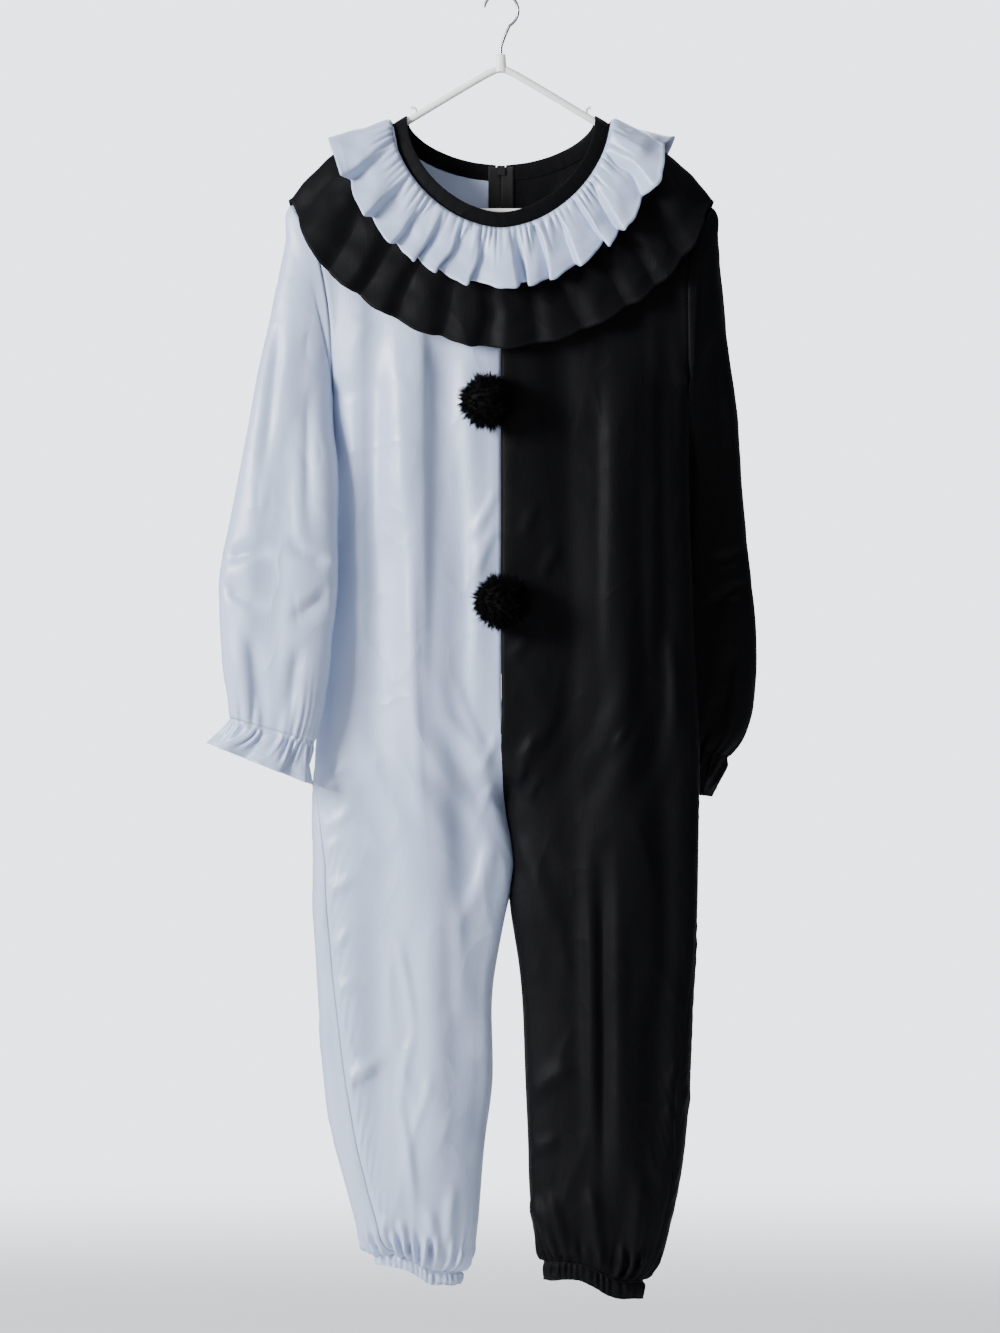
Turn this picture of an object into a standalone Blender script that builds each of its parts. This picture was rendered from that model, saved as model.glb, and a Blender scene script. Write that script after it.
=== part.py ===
"""Clown jumpsuit, half white and half black, hung on a plastic hanger.

Units are metres. The front faces -Y, +X is the viewer's right and +Z is up.
The origin is the top of the space inside the hanger's hook, where a rail holds it.
Each cut piece is a wall built on its middle surface and thickened with Solidify.
"""
import math
import random

import bmesh
import bpy
from mathutils import Vector
from mathutils.bvhtree import BVHTree

NAME = "clown_jumpsuit"

# Cloth and seams
WALL = 0.0015              # polyester satin with its turned seam allowance
BINDING_WALL = 0.0022      # folded strip round the neck
SEAM = 0.0003              # gap between two pieces sewn together
STRIP = 0.0015             # flat strip beside a seam, so that the edges face each other
ROUND = 2.6                # how boxy a hanging tube of cloth is in plan, 2 is an ellipse

# Hanger
HOOK_RADIUS = 0.020
HOOK_WIRE = 0.0018         # half thickness
HOOK_TURN = (-62.0, 169.0, 15)     # degrees where the bend starts and ends, and its points
STEM = 0.010               # straight wire between the collar and the bend
COLLAR = (0.0060, 0.016)   # half thickness and height of the boss that holds the wire
ARM_TUBE = 0.0045          # half thickness of the moulded frame
NOTCH_TUBE = 0.0018
ARM_APEX = -0.0890
ARM_SLOPE = 0.601
ARM_REACH = 0.205
BAR_DROP = -0.2745
ARM_STEPS = (0.014, 0.06, 0.13, 0.192)
ARM_END = ((0.2035, -0.2125), (0.2085, -0.2215), (0.2045, -0.2315), (0.188, -0.2425),
           (0.160, -0.2570), (0.130, -0.2680))      # the bend from the arm into the bar
BAR_HALF = 0.100
NOTCH_AT = 0.108
NOTCH = ((0.0, 0.0005), (-0.0005, 0.0075), (0.0015, 0.0105), (0.0055, 0.0112))
CLOTH_OVER_ARM = 0.0069    # from the middle of the arm up to the middle of the cloth

# Neck
NECK_HALF = 0.135
NECK_CURVE = 1.8
NECK_DROP = {"front": 0.133, "back": 0.070}
NECK_DEPTH = {"front": 0.050, "back": 0.030}
NECK_WRAP = 0.60           # how soon the neck edge leaves the hanger's arm
BINDING_WIDTH = 0.018
BINDING_CLEAR = 0.0012     # from the neck seam up to the binding's lower edge
BACK_SLIT = 0.0075         # half width of the zip's place in binding and ruffles
CORNER_GAP = 0.0005        # eases the shoulder seam where it meets the neck seam
SHOULDER_TILT = math.atan(ARM_SLOPE)

# Yoke, from the top edges down to the underarm
TIP = {-1: (-0.2644, -0.267), 1: (0.2680, -0.2695)}
UNDERARM = -0.500
ARMHOLE_HALF = 0.028
YOKE_ROWS = (0.0, 0.012, 0.04, 0.10, 0.20, 0.34, 0.50, 0.68, 0.84, 0.95, 1.0)
NECK_ANGLES = (0, 20, 39, 57, 73, 87, 90)     # panel columns round a quarter of the neck
NECK_COLUMNS = len(NECK_ANGLES) - 1
PANEL_COLUMNS = 10
SPREAD = (1.6, 0.8)        # how late a column spreads out below the neck: centre, shoulder
FILL = (1.6, 0.4)          # how late it takes its depth, likewise
ARMHOLE_DRAW = 0.85        # share of the armhole's depth that opens the panel beside it

# Armhole edge seen from the front: height, left edge, right edge
ARMHOLE = (
    (-0.267, -0.2644, 0.2680),
    (-0.290, -0.2510, 0.2530),
    (-0.322, -0.2345, 0.2400),
    (-0.373, -0.2226, 0.2362),
    (-0.424, -0.2165, 0.2368),
    (-0.500, -0.2135, 0.2378),
)

# Body and legs: height, left leg's outer and inner edge, right leg's inner and
# outer edge, half depth
BODY = (
    (-0.500, -0.2135, 0.0000, 0.0000, 0.2378, 0.044),
    (-0.640, -0.2140, 0.0000, 0.0000, 0.2378, 0.047),
    (-0.790, -0.2200, 0.0000, 0.0000, 0.2440, 0.049),
    (-0.942, -0.2340, 0.0010, 0.0010, 0.2510, 0.051),
    (-1.018, -0.2378, 0.0040, 0.0040, 0.2510, 0.050),
    (-1.094, -0.2378, 0.0155, 0.0160, 0.2500, 0.049),
    (-1.145, -0.2378, 0.0090, 0.0110, 0.2492, 0.048),
    (-1.221, -0.2328, -0.0051, 0.0215, 0.2470, 0.047),
    (-1.271, -0.2302, -0.0112, 0.0266, 0.2430, 0.046),
    (-1.373, -0.2240, -0.0105, 0.0305, 0.2391, 0.045),
    (-1.448, -0.2125, -0.0200, 0.0338, 0.2340, 0.046),
    (-1.499, -0.1999, -0.0245, 0.0350, 0.2264, 0.047),
    (-1.550, -0.1847, -0.0285, 0.0390, 0.2151, 0.045),
    (-1.580, -0.1740, -0.0330, 0.0450, 0.2070, 0.039),
)
BODY_ROWS = (-0.56, -0.64, -0.73, -0.82, -0.90, -0.955, -0.988, -1.003, -1.030, -1.080,
             -1.145, -1.225, -1.330, -1.440, -1.520, -1.580)
CROTCH_START = -0.900      # the centre seams begin to turn under
CROTCH = -1.005

# Ankle: where the leg's hem meets its elastic casing. Outer and inner edge, the height of
# the casing's outer and inner ends, half depth, casing height
ANKLE = {
    -1: dict(outer=-0.157, inner=-0.0510, z_outer=-1.5905, z_inner=-1.6140, depth=0.026, tall=0.017),
    1: dict(outer=0.1790, inner=0.0545, z_outer=-1.6250, z_inner=-1.6010, depth=0.030, tall=0.024),
}

# Long folds: piece side and face, x and height at the top and at the foot, half width,
# height of the ridge (a trough is negative)
FOLDS = (
    (-1, "front", -0.123, -0.40, -0.071, -1.55, 0.030, 0.0090),
    (-1, "front", -0.077, -0.40, -0.030, -1.20, 0.024, -0.0090),
    (-1, "front", -0.172, -0.42, -0.150, -1.50, 0.022, -0.0050),
    (1, "front", 0.094, -0.42, 0.093, -1.10, 0.030, -0.0080),
    (1, "front", 0.160, -0.42, 0.150, -1.56, 0.024, 0.0100),
    (1, "front", 0.203, -0.42, 0.190, -1.50, 0.016, -0.0070),
    (-1, "back", -0.060, -0.36, -0.075, -1.10, 0.028, -0.0080),
    (-1, "back", -0.128, -0.36, -0.120, -1.55, 0.028, 0.0090),
    (-1, "back", -0.178, -0.45, -0.165, -1.48, 0.018, -0.0060),
    (1, "back", 0.052, -0.36, 0.070, -1.15, 0.026, -0.0080),
    (1, "back", 0.118, -0.36, 0.128, -1.55, 0.030, 0.0090),
    (1, "back", 0.182, -0.45, 0.176, -1.48, 0.020, -0.0060),
)

# Sleeves, one row a ring: x and height of the outer edge, x and height of the inner edge,
# distance to the back, half depth
SLEEVE = {
    -1: (
        (-0.2745, -0.312, -0.2200, -0.512, -0.002, 0.030),
        (-0.2872, -0.373, -0.2195, -0.530, -0.010, 0.031),
        (-0.2998, -0.436, -0.2165, -0.552, -0.022, 0.031),
        (-0.3125, -0.506, -0.2135, -0.582, -0.036, 0.031),
        (-0.3238, -0.576, -0.2100, -0.620, -0.046, 0.031),
        (-0.3453, -0.690, -0.2056, -0.696, -0.051, 0.034),
        (-0.3517, -0.718, -0.2049, -0.722, -0.052, 0.035),
        (-0.3542, -0.808, -0.2125, -0.812, -0.054, 0.035),
        (-0.3490, -0.862, -0.2189, -0.872, -0.055, 0.034),
        (-0.3430, -0.890, -0.2260, -0.912, -0.055, 0.030),
        (-0.3403, -0.9146, -0.2366, -0.9437, -0.055, 0.022),
    ),
    1: (
        (0.2778, -0.315, 0.2440, -0.512, 0.004, 0.029),
        (0.2840, -0.376, 0.2440, -0.530, 0.014, 0.030),
        (0.2900, -0.442, 0.2400, -0.552, 0.030, 0.030),
        (0.2998, -0.510, 0.2330, -0.582, 0.046, 0.030),
        (0.3036, -0.578, 0.2240, -0.620, 0.057, 0.030),
        (0.3137, -0.702, 0.2090, -0.702, 0.065, 0.031),
        (0.3245, -0.810, 0.1975, -0.803, 0.067, 0.032),
        (0.3238, -0.869, 0.1960, -0.856, 0.067, 0.032),
        (0.3188, -0.911, 0.1980, -0.898, 0.067, 0.030),
        (0.3050, -0.945, 0.2030, -0.927, 0.066, 0.026),
        (0.2872, -0.9640, 0.2062, -0.9450, 0.066, 0.021),
    ),
}
ARMHOLE_MELT = (0.72, 0.45, 0.24, 0.10)     # how far each first ring keeps the armhole's form
SLEEVE_VALLEY = 0.22       # share of its depth that a hanging sleeve loses along its middle

# Cuff frills: outer and inner end of the hem ring, half depth, waves, wave height
CUFF = {
    -1: dict(outer=(-0.3620, -0.949), inner=(-0.2440, -0.9960), back=-0.055, depth=0.030),
    1: dict(outer=(0.2600, -1.0140), inner=(0.1790, -1.0030), back=0.080, depth=0.028),
}
CUFF_WAVES = 8
CUFF_WAVE = 0.0065

# Collar ruffles: widths of the rows, wave height at the hem, forward lean of the hem, stand-off
# from the body, and the places where the flutes turn in, in degrees from the front's middle
RUFFLES = {
    "ruffle_lower": dict(rows=(0.0, 0.013, 0.043, 0.076, 0.113, 0.152), wave=0.017, lean=0.010,
                         root=0.0021, notches=(-168, -150, -134, -118, -101, -84, -64, -47, -33, -19, -5,
                                               11, 24, 41, 55, 69, 85, 103, 119, 136, 153, 168)),
    "ruffle_upper": dict(rows=(0.0, 0.013, 0.043, 0.0755), wave=0.015, lean=0.014,
                         root=0.0042, notches=(-168, -152, -138, -124, -109, -92, -74, -56, -43, -33, -22,
                                               -9, 8, 19, 31, 43, 53, 70, 89, 107, 121, 135, 150, 164)),
}
RUFFLE_START = 0.0008      # from the neck seam down to the ruffle's gathered edge
RUFFLE_CLEAR = 0.0016
FLUTE = 17                 # degrees across a flute of the usual height
FLUTE_SHARE = (0.7, 1.3)   # the lowest and the highest flute, as shares of that height
SHOULDER_LIFT = 0.0042     # where the gathers pass over the edge of the shoulder
LIFT_TURN = (math.pi / 2 + 0.06, 1.45)     # radians round the neck, from none of it to all
RUFFLE_FEEL = 0.045        # how far below it a ruffle still looks for what it lies on

# Back zip
ZIP_FOOT = -0.860
ZIP_SLOT = 0.0030          # half the width in which the chain shows
TAPE_WIDTH = 0.0160
TAPE_WALL = 0.0010
TAPE_RISE = 0.0165         # above the neck seam, between the ends of the binding
ZIP_SLACK = 1.4            # the tape's free edge stands further from the panel
TAPE_SPLIT = 0.0006        # half the gap between the two tapes
TAPE_CLEAR = 0.0004        # from the tape to the panel or the slider's plate
SLIDER = dict(top=-0.2145, tall=0.0120, half=0.0050, plate=0.0015)
BAIL = dict(half=0.0030, ear=0.0010, pin=0.0008, wall=0.0010, root=0.0020)
PIVOT = (0.0362, -0.2195)  # the pin's y and z
PULL = dict(length=0.026, half=0.0018, thin=0.0012, eye=0.0014, clear=0.0004)

# Pompoms: x and height
POMPOMS = {"pompom_upper": (-0.0152, -0.516), "pompom_lower": (0.0020, -0.768)}
POM_CORE = 0.0235
POM_REACH = 0.0395         # how far the longest lock reaches from the middle
POM_SWAY = 0.0035
POM_CLEAR = 0.0005
POM_SPREAD = (-0.03, 0.0, 0.03)    # places below it where the cloth is felt for

WHITE = (0.80, 0.83, 0.88)
BLACK = (0.012, 0.012, 0.014)
PLASTIC = (0.86, 0.86, 0.85)
STEEL = (0.62, 0.62, 0.63)
COLOURS = {
    "front_left": WHITE, "back_left": WHITE, "sleeve_left": WHITE, "cuff_left": WHITE,
    "ankle_left": WHITE, "ruffle_upper": WHITE, "hanger_frame": PLASTIC, "hanger_hook": STEEL,
    "zip_slider": BLACK, "zip_pull": BLACK,
}


def blend(a, b, share):
    return a + (b - a) * share


def ease(value, start, end):
    share = min(max((value - start) / (end - start), 0.0), 1.0)
    return share * share * (3.0 - 2.0 * share)


def row_at(table, height):
    """One row of a table, read smoothly at a height between its rows."""
    last = len(table) - 1
    if height >= table[0][0]:
        return table[0][1:]
    if height <= table[last][0]:
        return table[last][1:]
    upper = max(i for i in range(last) if table[i][0] >= height)
    low, high = table[upper], table[upper + 1]
    before, after = table[max(upper - 1, 0)], table[min(upper + 2, last)]
    gap = high[0] - low[0]
    share = (height - low[0]) / gap
    values = []
    for column in range(1, len(low)):
        slope_low = (high[column] - before[column]) / (high[0] - before[0]) * gap
        slope_high = (after[column] - low[column]) / (after[0] - low[0]) * gap
        square, cube = share * share, share ** 3
        values.append((2 * cube - 3 * square + 1) * low[column] + (cube - 2 * square + share) * slope_low
                      + (3 * square - 2 * cube) * high[column] + (cube - square) * slope_high)
    return values


def shoulder_height(x):
    """The cloth's ridge over the hanger's arm, then falling to the shoulder tip."""
    arm = ARM_APEX + CLOTH_OVER_ARM - ARM_SLOPE * min(abs(x), ARM_REACH)
    tip_x, tip_z = TIP[-1 if x < 0 else 1]
    beyond = max(abs(x) - ARM_REACH, 0.0) / (abs(tip_x) - ARM_REACH)
    return blend(arm, tip_z, beyond ** 1.15)


def neck_point(angle, face):
    """A point of the neck seam; angle runs from the centre to the shoulder."""
    power = 2.0 / NECK_CURVE
    across = math.sin(angle) ** power
    down = max(math.cos(angle), 0.0) ** power
    forward = -1.0 if face == "front" else 1.0
    side_z = shoulder_height(NECK_HALF)
    level = max(math.cos(angle), 0.0)
    return Vector((NECK_HALF * across, forward * NECK_DEPTH[face] * level ** NECK_WRAP,
                   side_z - NECK_DROP[face] * down))


def from_neck(side, angle):
    """The way outwards from the neck over the body: down at the centre, down the shoulder."""
    return Vector((side * math.cos(SHOULDER_TILT) * math.sin(angle), 0.0,
                   -(math.cos(angle) + math.sin(SHOULDER_TILT) * math.sin(angle)))).normalized()


def folds(side, face, x, z):
    total = 0.0
    for fold_side, fold_face, x_top, z_top, x_foot, z_foot, width, height in FOLDS:
        if (fold_side, fold_face) != (side, face):
            continue
        run = (z_top - z) / (z_top - z_foot)
        fade = ease(run, -0.02, 0.12) * (1.0 - ease(run, 0.86, 1.02))
        line = blend(x_top, x_foot, run)
        total += height * fade * math.exp(-((x - line) / width) ** 2)
    return total


def tube_profile(across, turned):
    """Depth of a hanging tube as a share, from its inner edge (0) to its outer edge (1)."""
    outer = (1.0 - min(across, 1.0) ** ROUND) ** (1.0 / ROUND)
    inner = (1.0 - (1.0 - across) ** ROUND) ** (1.0 / ROUND)
    return outer * ((1.0 - turned) + turned * inner)


def columns(turned):
    """Places across a panel, closer together where the cloth turns away."""
    places = []
    for i in range(1, PANEL_COLUMNS):
        t = i / PANEL_COLUMNS
        open_place = math.sin(t * math.pi / 2) ** 0.85
        closed_place = 0.5 + 0.5 * math.sin((t - 0.5) * math.pi)
        places.append(blend(open_place, closed_place, turned))
    return places


def armhole_edge(side, share, strip=0.0):
    """The armhole's front edge (its back edge is the mirror in y), and the way out of it."""
    z = blend(TIP[side][1], UNDERARM, share)
    x = row_at(ARMHOLE, z)[0 if side < 0 else 1]
    hollow = math.sin(math.pi * min(share, 0.5) ** 0.6 * 0.758) if share < 0.5 else \
        math.sqrt(max(1.0 - ((share - 0.5) / 0.5) ** 2.4, 0.0))
    y = -(SEAM / 2 + strip + ARMHOLE_HALF * hollow)
    slope = 0.75 * (1.0 - ease(share, 0.0, 0.35))
    return Vector((x, y, z)), Vector((side, 0.0, -slope)).normalized()


def yoke_row(side, face, share, strip=0.0):
    """One row between the top edges and the underarm."""
    forward = -1.0 if face == "front" else 1.0
    places = columns(0.0)
    column = 0 if side < 0 else 3
    low_half = abs(row_at(BODY, UNDERARM)[column])
    depth = row_at(BODY, UNDERARM)[4]
    edge, outward = armhole_edge(side, share, strip)
    edge.y = abs(edge.y) * forward
    hollow = abs(edge.y) - SEAM / 2 - strip
    half = blend(abs(TIP[side][0]), abs(edge.x), ease(share, 0.0, 0.45))
    points = []
    for i, place in enumerate([0.0] + places):
        if i <= NECK_COLUMNS:
            top = neck_point(math.radians(NECK_ANGLES[i]), face)
            top.x *= side
        else:
            run = (i - NECK_COLUMNS) / (PANEL_COLUMNS - NECK_COLUMNS)
            x = side * blend(NECK_HALF, abs(TIP[side][0]), run)
            top = Vector((x, forward * SEAM / 2, shoulder_height(x)))
        if i == NECK_COLUMNS:
            top.y = forward * (SEAM / 2 + CORNER_GAP)
        low_y = depth * tube_profile(place, 0.0)
        spread = share ** blend(*SPREAD, ease(i, 1.0, NECK_COLUMNS - 1.0))
        x = side * half * blend(abs(top.x) / abs(TIP[side][0]), place, spread)
        power = blend(*FILL, ease(i, 1.0, NECK_COLUMNS - 0.5))
        y = blend(abs(top.y), low_y, share ** power)
        y += hollow * (i / PANEL_COLUMNS) ** 2 * ARMHOLE_DRAW
        z = blend(top.z, UNDERARM, share)
        if i >= NECK_COLUMNS:
            y += strip
        if i <= NECK_COLUMNS:
            away = from_neck(side, math.radians(NECK_ANGLES[i])) * strip
            x += away.x
            z += away.z
        y += folds(side, face, x, z)
        points.append(Vector((x, forward * y, z)))
    points[0].x = side * centre_gap(face, points[0].z)
    points.insert(1, points[0] + Vector((side * STRIP, 0.0, 0.0)))
    beside = (-outward * 2 * STRIP).lerp(Vector((0.0, forward * STRIP, 0.0)), ease(share, 0.6, 0.95))
    points.append(edge + beside)
    points.append(edge)
    return points


def centre_gap(face, z):
    """Half the gap at a centre seam; the back one opens for the zip's chain."""
    if face == "front":
        return SEAM / 2
    return blend(ZIP_SLOT, SEAM / 2, ease(z, ZIP_FOOT, ZIP_FOOT - 0.02))


def body_row(side, face, z, level=None):
    """One row of body or leg at a height; level moves its points up or down."""
    forward = -1.0 if face == "front" else 1.0
    values = row_at(BODY, z)
    outer, inner = (values[0], values[1]) if side < 0 else (values[3], values[2])
    depth = values[4]
    run = min(max((CROTCH_START - z) / (CROTCH_START - CROTCH), 0.0), 1.0)
    turned = 1.0 - math.sqrt(1.0 - run * run)
    inner += side * (centre_gap(face, z) + turned * (WALL / 2 + 0.0002))
    edge_y = forward * max(depth * (1.0 - turned), SEAM / 2)
    points = [Vector((inner, edge_y, z))]
    tangent = Vector((side * (1.0 - turned), forward * turned, 0.0)).normalized()
    points.append(points[0] + tangent * STRIP)
    for place in columns(ease(z, -0.86, -1.08)):
        x = blend(inner, outer, place)
        y = forward * (depth * tube_profile(place, turned))
        y += forward * folds(side, face, x, z) * min(1.0, 4.0 * place * (1.0 - place) + 0.1)
        points.append(Vector((x, y, z)))
    points.append(Vector((outer, forward * (SEAM / 2 + STRIP), z)))
    points.append(Vector((outer, forward * SEAM / 2, z)))
    return points


def ankle_height(side, x):
    """The casing steps down once across the ankle, where its elastic lies aslant."""
    ankle = ANKLE[side]
    share = (x - ankle["outer"]) / (ankle["inner"] - ankle["outer"])
    return blend(ankle["z_outer"], ankle["z_inner"], ease(share, 0.18, 0.72))


def panel_hem(side, face):
    """The leg's last row, gathered in to the ankle casing."""
    forward = -1.0 if face == "front" else 1.0
    places = columns(1.0)
    points = []
    for place in [0.0, None] + places + [None, 1.0]:
        if place is None:
            points.append(None)
            continue
        ankle = ANKLE[side]
        x = blend(ankle["inner"], ankle["outer"], place)
        y = forward * max(ankle["depth"] * tube_profile(place, 1.0), SEAM / 2)
        points.append(Vector((x, y, ankle_height(side, x))))
    points[1] = points[0] + Vector((0.0, forward * STRIP, 0.0))
    points[-2] = points[-1] + Vector((0.0, forward * STRIP, 0.0))
    return points


def panel_rows(side, face):
    rows = [yoke_row(side, face, 0.0), yoke_row(side, face, 0.0, STRIP)]
    rows += [yoke_row(side, face, share) for share in YOKE_ROWS[1:]]
    rows += [body_row(side, face, z) for z in BODY_ROWS]
    hem = panel_hem(side, face)
    last = rows[-1]
    blouse = [a.lerp(b, 0.62) for a, b in zip(last, hem)]
    for point, a, b in zip(blouse, last, hem):
        point.y = blend(a.y, b.y, 0.30)
        point.x = blend(a.x, b.x, 0.38)
    straight = [point + Vector((0.0, 0.0, 2 * STRIP)) for point in hem]
    rows += [blouse, straight, hem]
    return rows


def sheet_object(name, rows, wall=WALL, closed=False, flip=False, split=False):
    """A lofted sheet on rows of points, thickened about its middle."""
    mesh = bpy.data.meshes.new(name)
    width = len(rows[0])
    vertices = [tuple(point) for row in rows for point in row]
    faces = []
    spans = width if closed else width - 1
    for r in range(len(rows) - 1):
        for c in range(spans):
            a, b = r * width + c, r * width + (c + 1) % width
            face = (a, b, b + width, a + width)
            face = face[::-1] if flip else face
            faces += [(face[0], face[1], face[2]), (face[0], face[2], face[3])] if split else [face]
    mesh.from_pydata(vertices, [], faces)
    mesh.update()
    obj = bpy.data.objects.new(name, mesh)
    PARTS.objects.link(obj)
    solid = obj.modifiers.new("wall", "SOLIDIFY")
    solid.thickness = wall
    solid.offset = 0.0
    solid.use_even_offset = False
    mesh.shade_smooth()
    return finish(obj)


def finish(obj):
    colour = COLOURS.get(obj.name, BLACK)
    material = bpy.data.materials.new(obj.name)
    material.use_nodes = True
    shader = material.node_tree.nodes["Principled BSDF"]
    shader.inputs["Base Color"].default_value = (*colour, 1.0)
    shader.inputs["Roughness"].default_value = 0.45 if obj.name.startswith("hanger") else 0.6
    shader.inputs["Metallic"].default_value = 1.0 if obj.name == "hanger_hook" else 0.0
    obj.data.materials.clear()
    obj.data.materials.append(material)
    return obj


def make_panels():
    for side, side_name in ((-1, "left"), (1, "right")):
        for face in ("front", "back"):
            rows = panel_rows(side, face)
            outward = (side < 0) == (face == "front")
            sheet_object(f"{face}_{side_name}", rows, flip=not outward)


def sleeve_rings(side):
    """Rings of a sleeve: the armhole first, then ovals down to the wrist elastic."""
    stations = [(0.0, 0.0, -1), (0.0, STRIP, -1)] + [(share, 0.0, -1) for share in YOKE_ROWS[1:]]
    stations += [(share, 0.0, 1) for share in YOKE_ROWS[-2:0:-1]] + [(0.0, STRIP, 1), (0.0, 0.0, 1)]
    count = len(stations)
    armhole = []
    for share, strip, forward in stations:
        edge, outward = armhole_edge(side, share, strip)
        edge.y *= -forward
        armhole.append((edge, outward, ease(share, 0.50, 0.84), ease(share, 0.80, 1.0)))
    middle = armhole[0][0].lerp(armhole[count // 2][0], 0.5)
    half = (armhole[0][0] - armhole[count // 2][0]).length / 2
    rings = [[edge + outward * (reach + WALL * 0.7 * aside) + Vector((0.0, 0.0, 0.0012 * under))
              for edge, outward, aside, under in armhole] for reach in (SEAM, SEAM + 2 * STRIP)]
    for k, (x_out, z_out, x_in, z_in, y_mid, depth) in enumerate(SLEEVE[side]):
        melt = 0.6 * ARMHOLE_MELT[k] if k < len(ARMHOLE_MELT) else 0.0
        arm = math.hypot(x_out - x_in, z_out - z_in) / 2
        oval = oval_ring((x_out, z_out), (x_in, z_in), y_mid, depth, count)
        centre = Vector(((x_out + x_in) / 2, y_mid, (z_out + z_in) / 2))
        ring = []
        for (edge, outward, aside, under), point in zip(armhole, oval):
            across = (point - centre).x / max(abs(x_out - x_in) / 2, 0.001) * side
            hollow = 1.0 - SLEEVE_VALLEY * ease(k, 0, 3) * math.exp(-((across - 0.1) / 0.34) ** 2)
            point.y = centre.y + (point.y - centre.y) * hollow
            kept = edge - middle
            form = centre + Vector((kept.x, kept.y, kept.z * arm / half))
            ring.append(point.lerp(form, melt))
        rings.append(ring)
    x_out, z_out, x_in, z_in, y_mid, depth = SLEEVE[side][-1]
    rings.insert(-1, [point + wrist_axis(side) * 2 * STRIP for point in rings[-1]])
    return rings


def wrist_axis(side):
    """The way up the arm at the wrist elastic."""
    x_out, z_out, x_in, z_in = SLEEVE[side][-1][:4]
    return Vector(((z_in - z_out) * side, 0.0, (x_out - x_in) * side)).normalized()


def oval_ring(outer, inner, y_mid, depth, count):
    """A ring of points between an outer and an inner end, the seam's two points first."""
    middle = Vector(((outer[0] + inner[0]) / 2, y_mid, (outer[1] + inner[1]) / 2))
    arm = Vector(((outer[0] - inner[0]) / 2, 0.0, (outer[1] - inner[1]) / 2))
    ring = []
    for i in range(count):
        angle = 2 * math.pi * (i + 0.5) / count
        across, out = math.cos(angle), math.sin(angle)
        point = middle + arm * math.copysign(abs(across) ** 0.85, across)
        point.y -= depth * math.copysign(abs(out) ** 0.8, out)
        ring.append(point)
    return ring


def make_sleeves():
    for side, side_name in ((-1, "left"), (1, "right")):
        rings = sleeve_rings(side)
        sheet_object(f"sleeve_{side_name}", rings, closed=True, flip=side > 0)
        make_cuff(side, f"cuff_{side_name}", rings[-1])


def make_cuff(side, name, wrist):
    """The frill below the wrist elastic, its top points on the sleeve's last ring."""
    axis = wrist_axis(side)
    top = [point - axis * SEAM for point in wrist]
    top = [spot for a, b in zip(top, top[1:] + top[:1]) for spot in (a, a.lerp(b, 0.5))]
    count = len(top)
    cuff = CUFF[side]
    foot = oval_ring(cuff["outer"], cuff["inner"], cuff["back"], cuff["depth"], count)
    centre = sum(foot, Vector()) / count
    waved = []
    for i, point in enumerate(foot):
        out = point - centre
        swell = CUFF_WAVE * math.cos(2 * math.pi * CUFF_WAVES * i / count + 0.6)
        waved.append(point + out.normalized() * swell)
    rows = [top, [point - axis * 2 * STRIP for point in top]]
    rows.append(waved)
    sheet_object(name, rows, closed=True, flip=side > 0)


def make_ankles():
    for side, side_name in ((-1, "left"), (1, "right")):
        hem = panel_hem(side, "front") + panel_hem(side, "back")[::-1]
        middle = (ANKLE[side]["outer"] + ANKLE[side]["inner"]) / 2
        rows = []
        for share in (0.0, 0.5, 1.0):
            swell = 1.0 + 0.025 * math.sin(share * math.pi)
            rows.append([Vector((middle + (point.x - middle) * swell, point.y * swell,
                                 point.z - SEAM - ANKLE[side]["tall"] * share)) for point in hem])
        sheet_object(f"ankle_{side_name}", rows, closed=True, flip=side > 0)


def round_neck(front_steps, back_steps):
    """Stations on the neck seam from the back slit round the front to the slit again."""
    slit = math.degrees(math.asin((BACK_SLIT / NECK_HALF) ** (NECK_CURVE / 2.0)))
    quarter = []
    for face, steps in (("back", back_steps), ("front", front_steps[::-1])):
        angles = (slit,) + NECK_ANGLES[1:] if face == "back" else NECK_ANGLES[::-1]
        for low, high, count in zip(angles, angles[1:], steps):
            a, b = neck_point(math.radians(low), face), neck_point(math.radians(high), face)
            for i in range(count):
                quarter.append((a.lerp(b, i / count), face, math.radians(blend(low, high, i / count))))
    stations = [(Vector((-point.x, point.y, point.z)), -1, face, angle) for point, face, angle in quarter]
    stations.append((neck_point(0.0, "front"), 1, "front", 0.0))
    return stations + [(point, 1, face, angle) for point, face, angle in quarter[::-1]]


def make_binding():
    stations = round_neck((3, 3, 3, 2, 2, 1), (2, 2, 2, 2, 2, 1))
    rows = [[point - from_neck(side, angle) * (BINDING_CLEAR + BINDING_WIDTH * up)
             + Vector((0.0, 0.0, SEAM * math.sin(angle))) for point, side, face, angle in stations]
            for up in (0.0, 1.0)]
    sheet_object("neck_binding", rows, wall=BINDING_WALL, flip=True)


def solid_tree(names):
    """The named solids as they stand, to be laid upon."""
    bpy.context.view_layer.update()
    depsgraph = bpy.context.evaluated_depsgraph_get()
    shape = bmesh.new()
    for name in names:
        shape.from_object(PARTS.objects[name], depsgraph)
    tree = BVHTree.FromBMesh(shape)
    shape.free()
    return tree


def stand_offs(stations):
    """The way straight off the cloth at each station on the neck seam, evened out."""
    normals = []
    for i, (point, side, face, angle) in enumerate(stations):
        tangent = stations[min(i + 1, len(stations) - 1)][0] - stations[max(i - 1, 0)][0]
        normal = tangent.cross(from_neck(side, angle)).normalized()
        normals.append(-normal if normal.dot(Vector((0.0, -1.0 if face == "front" else 1.0, 0.6))) < 0
                       else normal)
    evened = []
    for i in range(len(normals)):
        near = normals[max(i - 1, 0):i + 2]
        evened.append((sum(near, Vector()) / len(near)).normalized())
    return evened


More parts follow.
